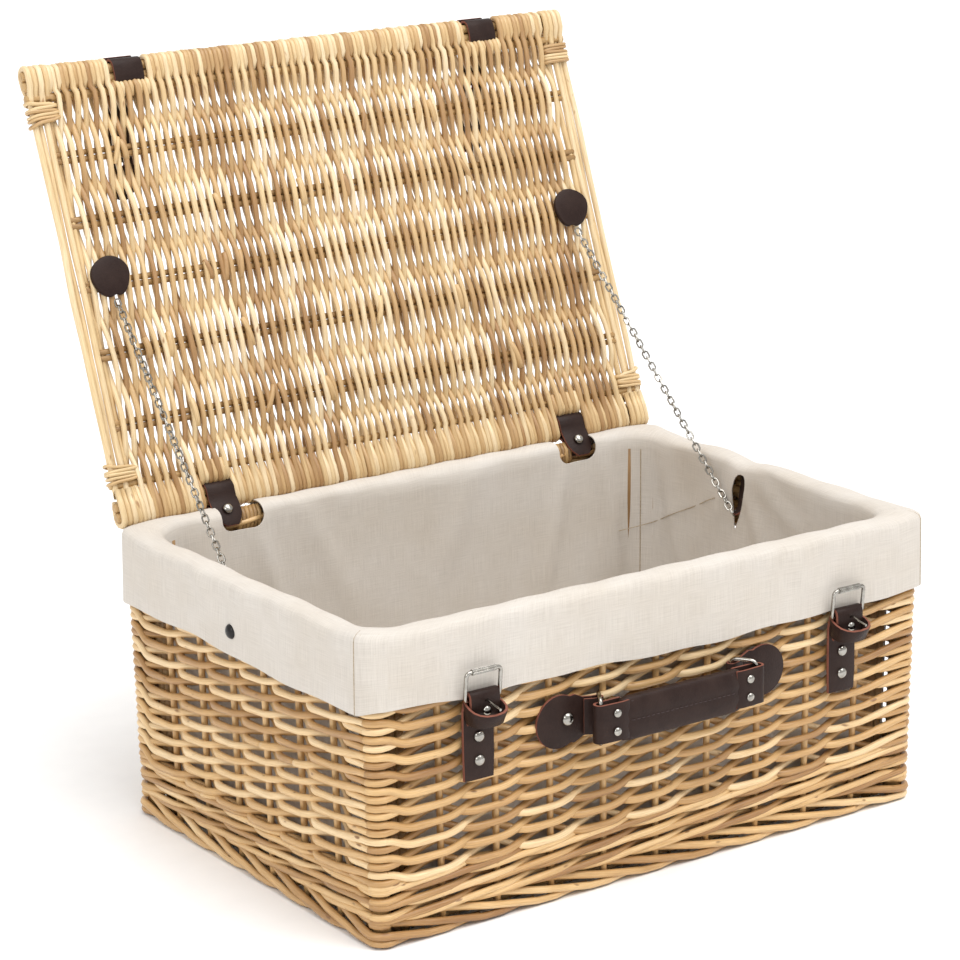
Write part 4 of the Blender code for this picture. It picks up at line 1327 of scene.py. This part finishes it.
# %% Buckle frames and prongs
for name, x, z in zip(("left", "right"), CLOSING_X, BAR_Z):
    lean, half, tall = radians(6), 0.0148, 0.0222
    up = Vector((0, -sin(lean), cos(lean)))
    low = Vector((x, BAR_Y, z))
    side = Vector((half, 0, 0))
    corners = (low - side, low + side, low + side + up * tall, low - side + up * tall)
    frame_wire = eased_corners(corners, 0.0038, True)
    wire("buckle_wire_" + name, frame_wire, 0.00155, True, "buckle_" + name, replaces=["buckle_frame_" + name])
    nothing_selected()
    bpy.ops.mesh.primitive_cylinder_add(vertices=24, radius=0.0022, depth=0.0205, end_fill_type="NGON",
                                        location=low + up * tall, rotation=(0, pi / 2, 0))
    roller = new_piece("buckle_roller_" + name)
    settle(roller)
    bpy.ops.object.mode_set(mode="EDIT")
    bpy.ops.mesh.select_all(action="DESELECT")
    shape = bmesh.from_edit_mesh(roller.data)
    for face in shape.faces:
        face.select = abs(face.normal.x) < 0.5
    bmesh.update_edit_mesh(roller.data)
    bpy.ops.mesh.inset(thickness=0.00022, use_individual=True)
    bpy.ops.transform.shrink_fatten(value=0.00022)
    bpy.ops.object.mode_set(mode="OBJECT")
    roller.data.materials.append(NICKEL)
    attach(roller, "buckle_" + name)
    turn = [(x, y, w) for y, w in bend((BAR_Y, z), 0.0031, -60, 200, 9)]
    turn += [(x, BAR_Y - 0.0070, z + 0.0012), (x, BAR_Y - 0.0150, z - 0.0012), (x, BAR_Y - 0.0225, z - 0.0022)]
    wire("buckle_pin_" + name, turn, 0.0010, False, "prong_" + name, replaces=["buckle_prong_" + name])

# %% [markdown]
# ## Carrying handle
# Two round-ended tabs are riveted to the wall. Each holds a wire ring, and the rings
# hold the folded ends of a padded grip. The grip is two layers of leather sewn over a
# soft core, so it swells between its stitched edges and its middle seam.

# %% Tabs, rings and folded ends
HANDLE_Z, LEG_IN, LEG_OUT = 0.1400, (0.0620, -0.1790), (0.0725, -0.19602)
for name, side in (("left", -1), ("right", 1)):
    outline = []
    shape = [(0.0660, -0.0138), (0.0740, -0.0150), (0.0810, -0.0184)]
    shape += bend((0.0950, 0.0), 0.0203, -118, 118, 22)
    shape += [(0.0810, 0.0184), (0.0740, 0.0150), (0.0660, 0.0138)]
    points = [(side * u, -0.1754, HANDLE_Z + v) for u, v in (shape if side > 0 else shape[::-1])]
    patch("handle_patch_" + name, points, "basket", thick=0.0023, replaces=["handle_tab_" + name])
    fold = [(0.0740, -0.1776), (0.0680, -0.1806), (0.0640, -0.1818)]
    fold += bend(LEG_IN, 0.0030, -80, -270, 8) + [(0.0670, -0.1752), (0.0700, -0.1752)]
    strap("handle_fold_" + name, [(side * u, v, HANDLE_Z) for u, v in fold], 0.0276, "basket",
          across=(0, 0, 1), thick=0.0018, replaces=["handle_sleeve_" + name])
    rivet("handle_cap_" + name, (side * 0.0880, -0.1765, HANDLE_Z + 0.001), (0, -1, 0), 0.0050, "basket",
          replaces=["handle_rivet_" + name])
    corners = [(side * LEG_IN[0], LEG_IN[1], HANDLE_Z - 0.0172), (side * LEG_OUT[0], LEG_OUT[1], HANDLE_Z - 0.0172),
               (side * LEG_OUT[0], LEG_OUT[1], HANDLE_Z + 0.0172), (side * LEG_IN[0], LEG_IN[1], HANDLE_Z + 0.0172)]
    wire("handle_wire_" + name, eased_corners(corners, 0.0050, True), 0.0016, True, "ring_" + name,
         replaces=["handle_ring_" + name])
    y = LEG_OUT[1]
    fold = [(0.0500, y - 0.0042), (0.0560, y - 0.0050), (0.0660, y - 0.0044)]
    fold += bend((LEG_OUT[0] + 0.0008, y), 0.0040, -95, 95, 9) + [(0.0660, y + 0.0042), (0.0520, y + 0.0044)]
    strap("grip_fold_" + name, [(side * u, v, HANDLE_Z) for u, v in fold], 0.0292, "handle",
          across=(0, 0, 1), thick=0.0021, replaces=["handle_end_" + name])
    for k, rise in enumerate((0.0070, -0.0070)):
        rivet(f"grip_cap_{k}_{name}", (side * 0.0618, y - 0.0058, HANDLE_Z + rise), (0, -1, 0), 0.0034, "handle")

# %% Padded grip
GRIP_HALF, GRIP_TALL = 0.0560, 0.0168
nothing_selected()
bpy.ops.mesh.primitive_grid_add(x_subdivisions=56, y_subdivisions=32, size=1)
grip = new_piece("grip_leather")
for vertex in grip.data.vertices:
    along_x, turn_round = vertex.co.x * 2, vertex.co.y * 2 * pi
    c, d = cos(turn_round), sin(turn_round)
    end = min(1.0, (1 - abs(along_x)) * 9)
    tall = GRIP_TALL * (0.86 + 0.14 * end ** 0.5)
    swell = 0.0058 * (0.55 + 0.45 * min(1.0, (1 - abs(along_x)) * 5) ** 0.5)
    seam = 0.0011 * np.exp(-(d / 0.10) ** 2)
    rise = tall * np.sign(d) * abs(d) ** 0.9
    depth = np.sign(c) * (swell * abs(c) ** 0.62 * (1 - 0.18 * abs(d)) + 0.0011 - seam)
    vertex.co = (along_x * GRIP_HALF, LEG_OUT[1] - depth, HANDLE_Z - 0.0012 + rise)
only(grip)
bpy.ops.object.mode_set(mode="EDIT")
bpy.ops.mesh.select_all(action="SELECT")
bpy.ops.mesh.remove_doubles(threshold=0.00002)
bpy.ops.mesh.select_all(action="DESELECT")
bpy.ops.mesh.select_mode(type="EDGE")
bpy.ops.mesh.select_non_manifold()
bpy.ops.mesh.edge_face_add()
bpy.ops.mesh.select_all(action="SELECT")
bpy.ops.mesh.normals_make_consistent(inside=False)
bpy.ops.object.mode_set(mode="OBJECT")
grip.data.materials.append(DARK_LEATHER)
modify(grip, "SUBSURF", levels=1, render_levels=1)
smooth(grip, 60)
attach(grip, "handle")
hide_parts("handle_grip")
stitches = []
for z, y, pitch in ((0.0140, -0.0040, 0.0044), (-0.0140, -0.0040, 0.0044), (0.0, -0.0062, 0.0044)):
    for x in np.arange(-0.0470, 0.0471, pitch):
        line = [(x + u, LEG_OUT[1] + y - v, HANDLE_Z - 0.0012 + z) for u, v in
                ((-0.0015, -0.0006), (-0.0008, 0.0002), (0.0008, 0.0002), (0.0015, -0.0006))]
        stitches.append((line, 0.00034, 0.5))
sewing = rods("grip_stitches", stitches, THREAD, "handle", sides=6, upright=(0, 0, 1))

# %% [markdown]
# ## Chains
# Each chain is plain oval links. One link is a torus drawn out in the middle. Copies of
# it, every second one turned a quarter round, run from the disc on the lid to a leather
# tag inside the slit. The chain folds in the middle as the lid shuts, so its upper and
# lower lengths are two pieces.

# %% Model one link
nothing_selected()
bpy.ops.mesh.primitive_torus_add(major_segments=14, minor_segments=6, major_radius=0.00235, minor_radius=0.00074)
link = new_piece("link_pattern")
for vertex in link.data.vertices:
    vertex.co.x += 0.0013 if vertex.co.x > 0 else -0.0013
smooth(link, 60)
LINK_PITCH = 0.00577


def chain(name, start, stop, body, replaces):
    """Copies of the link along a straight run, joined as one piece."""
    start, stop = Vector(start), Vector(stop)
    count = max(2, round((stop - start).length / LINK_PITCH))
    way = (stop - start).normalized()
    frame_x = way.to_track_quat("X", "Z").to_matrix()
    shape = bmesh.new()
    for k in range(count):
        place = start.lerp(stop, (k + 0.5) / count)
        twist = Matrix.Rotation(radians(45 + 90 * (k % 2)) + rng.normal(0, 0.16), 3, "X")
        copy = link.data.copy()
        copy.transform(Matrix.Translation(place) @ (frame_x @ twist).to_4x4())
        shape.from_mesh(copy)
        bpy.data.meshes.remove(copy)
    mesh = bpy.data.meshes.new(name)
    shape.to_mesh(mesh)
    shape.free()
    mesh.polygons.foreach_set("use_smooth", np.ones(len(mesh.polygons), bool))
    mesh.materials.clear()
    mesh.materials.append(NICKEL)
    obj = bpy.data.objects.new(name, mesh)
    bpy.context.scene.collection.objects.link(obj)
    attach(obj, body)
    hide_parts(*replaces)
    print(f"{name}: {count} links")


# %% Discs, chains and anchors
STUD_BLACK, tree, shader = material("black_stud", roughness=0.3, metallic=0.6, Base_Color=(0.02, 0.018, 0.018, 1))
bump(tree, shader, noise(tree, node(tree, "TexCoord").outputs["Object"], scale=900), 0.00005, 0.3)
for name, side in (("left", -1), ("right", 1)):
    nothing_selected()
    bpy.ops.mesh.primitive_cylinder_add(vertices=48, radius=0.0165, depth=0.0030)
    disc = new_piece("disc_leather_" + name)
    bpy.ops.object.mode_set(mode="EDIT")
    bpy.ops.mesh.select_all(action="DESELECT")
    shape = bmesh.from_edit_mesh(disc.data)
    for face in shape.faces:
        face.select = face.normal.z > 0.5
    bmesh.update_edit_mesh(disc.data)
    for inset in (0.0012, 0.0040, 0.0050):
        bpy.ops.mesh.inset(thickness=inset)
        bpy.ops.transform.translate(value=(0, 0, 0.00025))
    bpy.ops.object.mode_set(mode="OBJECT")
    for vertex in disc.data.vertices:
        u, v = vertex.co.x, vertex.co.y
        around_disc = np.arctan2(v, u)
        edge = (u * u + v * v) ** 0.5 / 0.0165
        wobble = 1 + 0.018 * sin(3 * around_disc + side) + 0.012 * sin(5 * around_disc)
        notch = 0.0022 * np.exp(-((u + side * 0.002) / 0.003) ** 2) if v < -0.012 else 0.0
        vertex.co.x, vertex.co.y = u * wobble, v * wobble + notch
        vertex.co.z += 0.0011 * edge ** 3 * sin(2 * around_disc + 0.6) * (vertex.co.z > 0)
    for vertex in disc.data.vertices:
        u, v, w = vertex.co
        vertex.co = on_lid((side * 0.2220 + u, 0.1850 + v, 0.0082 + w))[0]
    disc.data.materials.append(DARK_LEATHER)
    modify(disc, "BEVEL", width=0.0006, segments=2, limit_method="ANGLE", angle_limit=radians(40))
    smooth(disc, 45)
    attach(disc, "lid")
    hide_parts("chain_disc_" + name)
    top = Vector(on_lid((side * 0.2220, 0.1660, 0.0105))[0])
    foot = Vector((side * 0.2325, 0.0280, 0.1900))
    middle = top.lerp(foot, 0.5590)
    chain("chain_links_upper_" + name, top, middle, "chain_upper_" + name, ["chain_upper_" + name])
    chain("chain_links_lower_" + name, middle, foot, "chain_lower_" + name, ["chain_lower_" + name])
    tag = [(0.2462, 0.2240), (0.2440, 0.2160), (0.2422, 0.2060), (0.2408, 0.1960), (0.2372, 0.1915),
           (0.2338, 0.1902)]
    strap("chain_tag_" + name, [(side * x, 0.0280, z) for x, z in tag],
          [0.0085, 0.0082, 0.0078, 0.0070, 0.0056, 0.0046], "basket", across=(0, 1, 0), thick=0.0016,
          replaces=["chain_anchor_" + name])
    rivet("side_stud_" + name, (side * 0.2608, 0.0020, 0.1955), (side, 0, 0), 0.0058, "basket",
          finish=STUD_BLACK, replaces=["snap_" + name])
for pattern in (cap, link):
    bpy.data.objects.remove(pattern, do_unlink=True)

# %% Finish
bpy.context.view_layer.update()
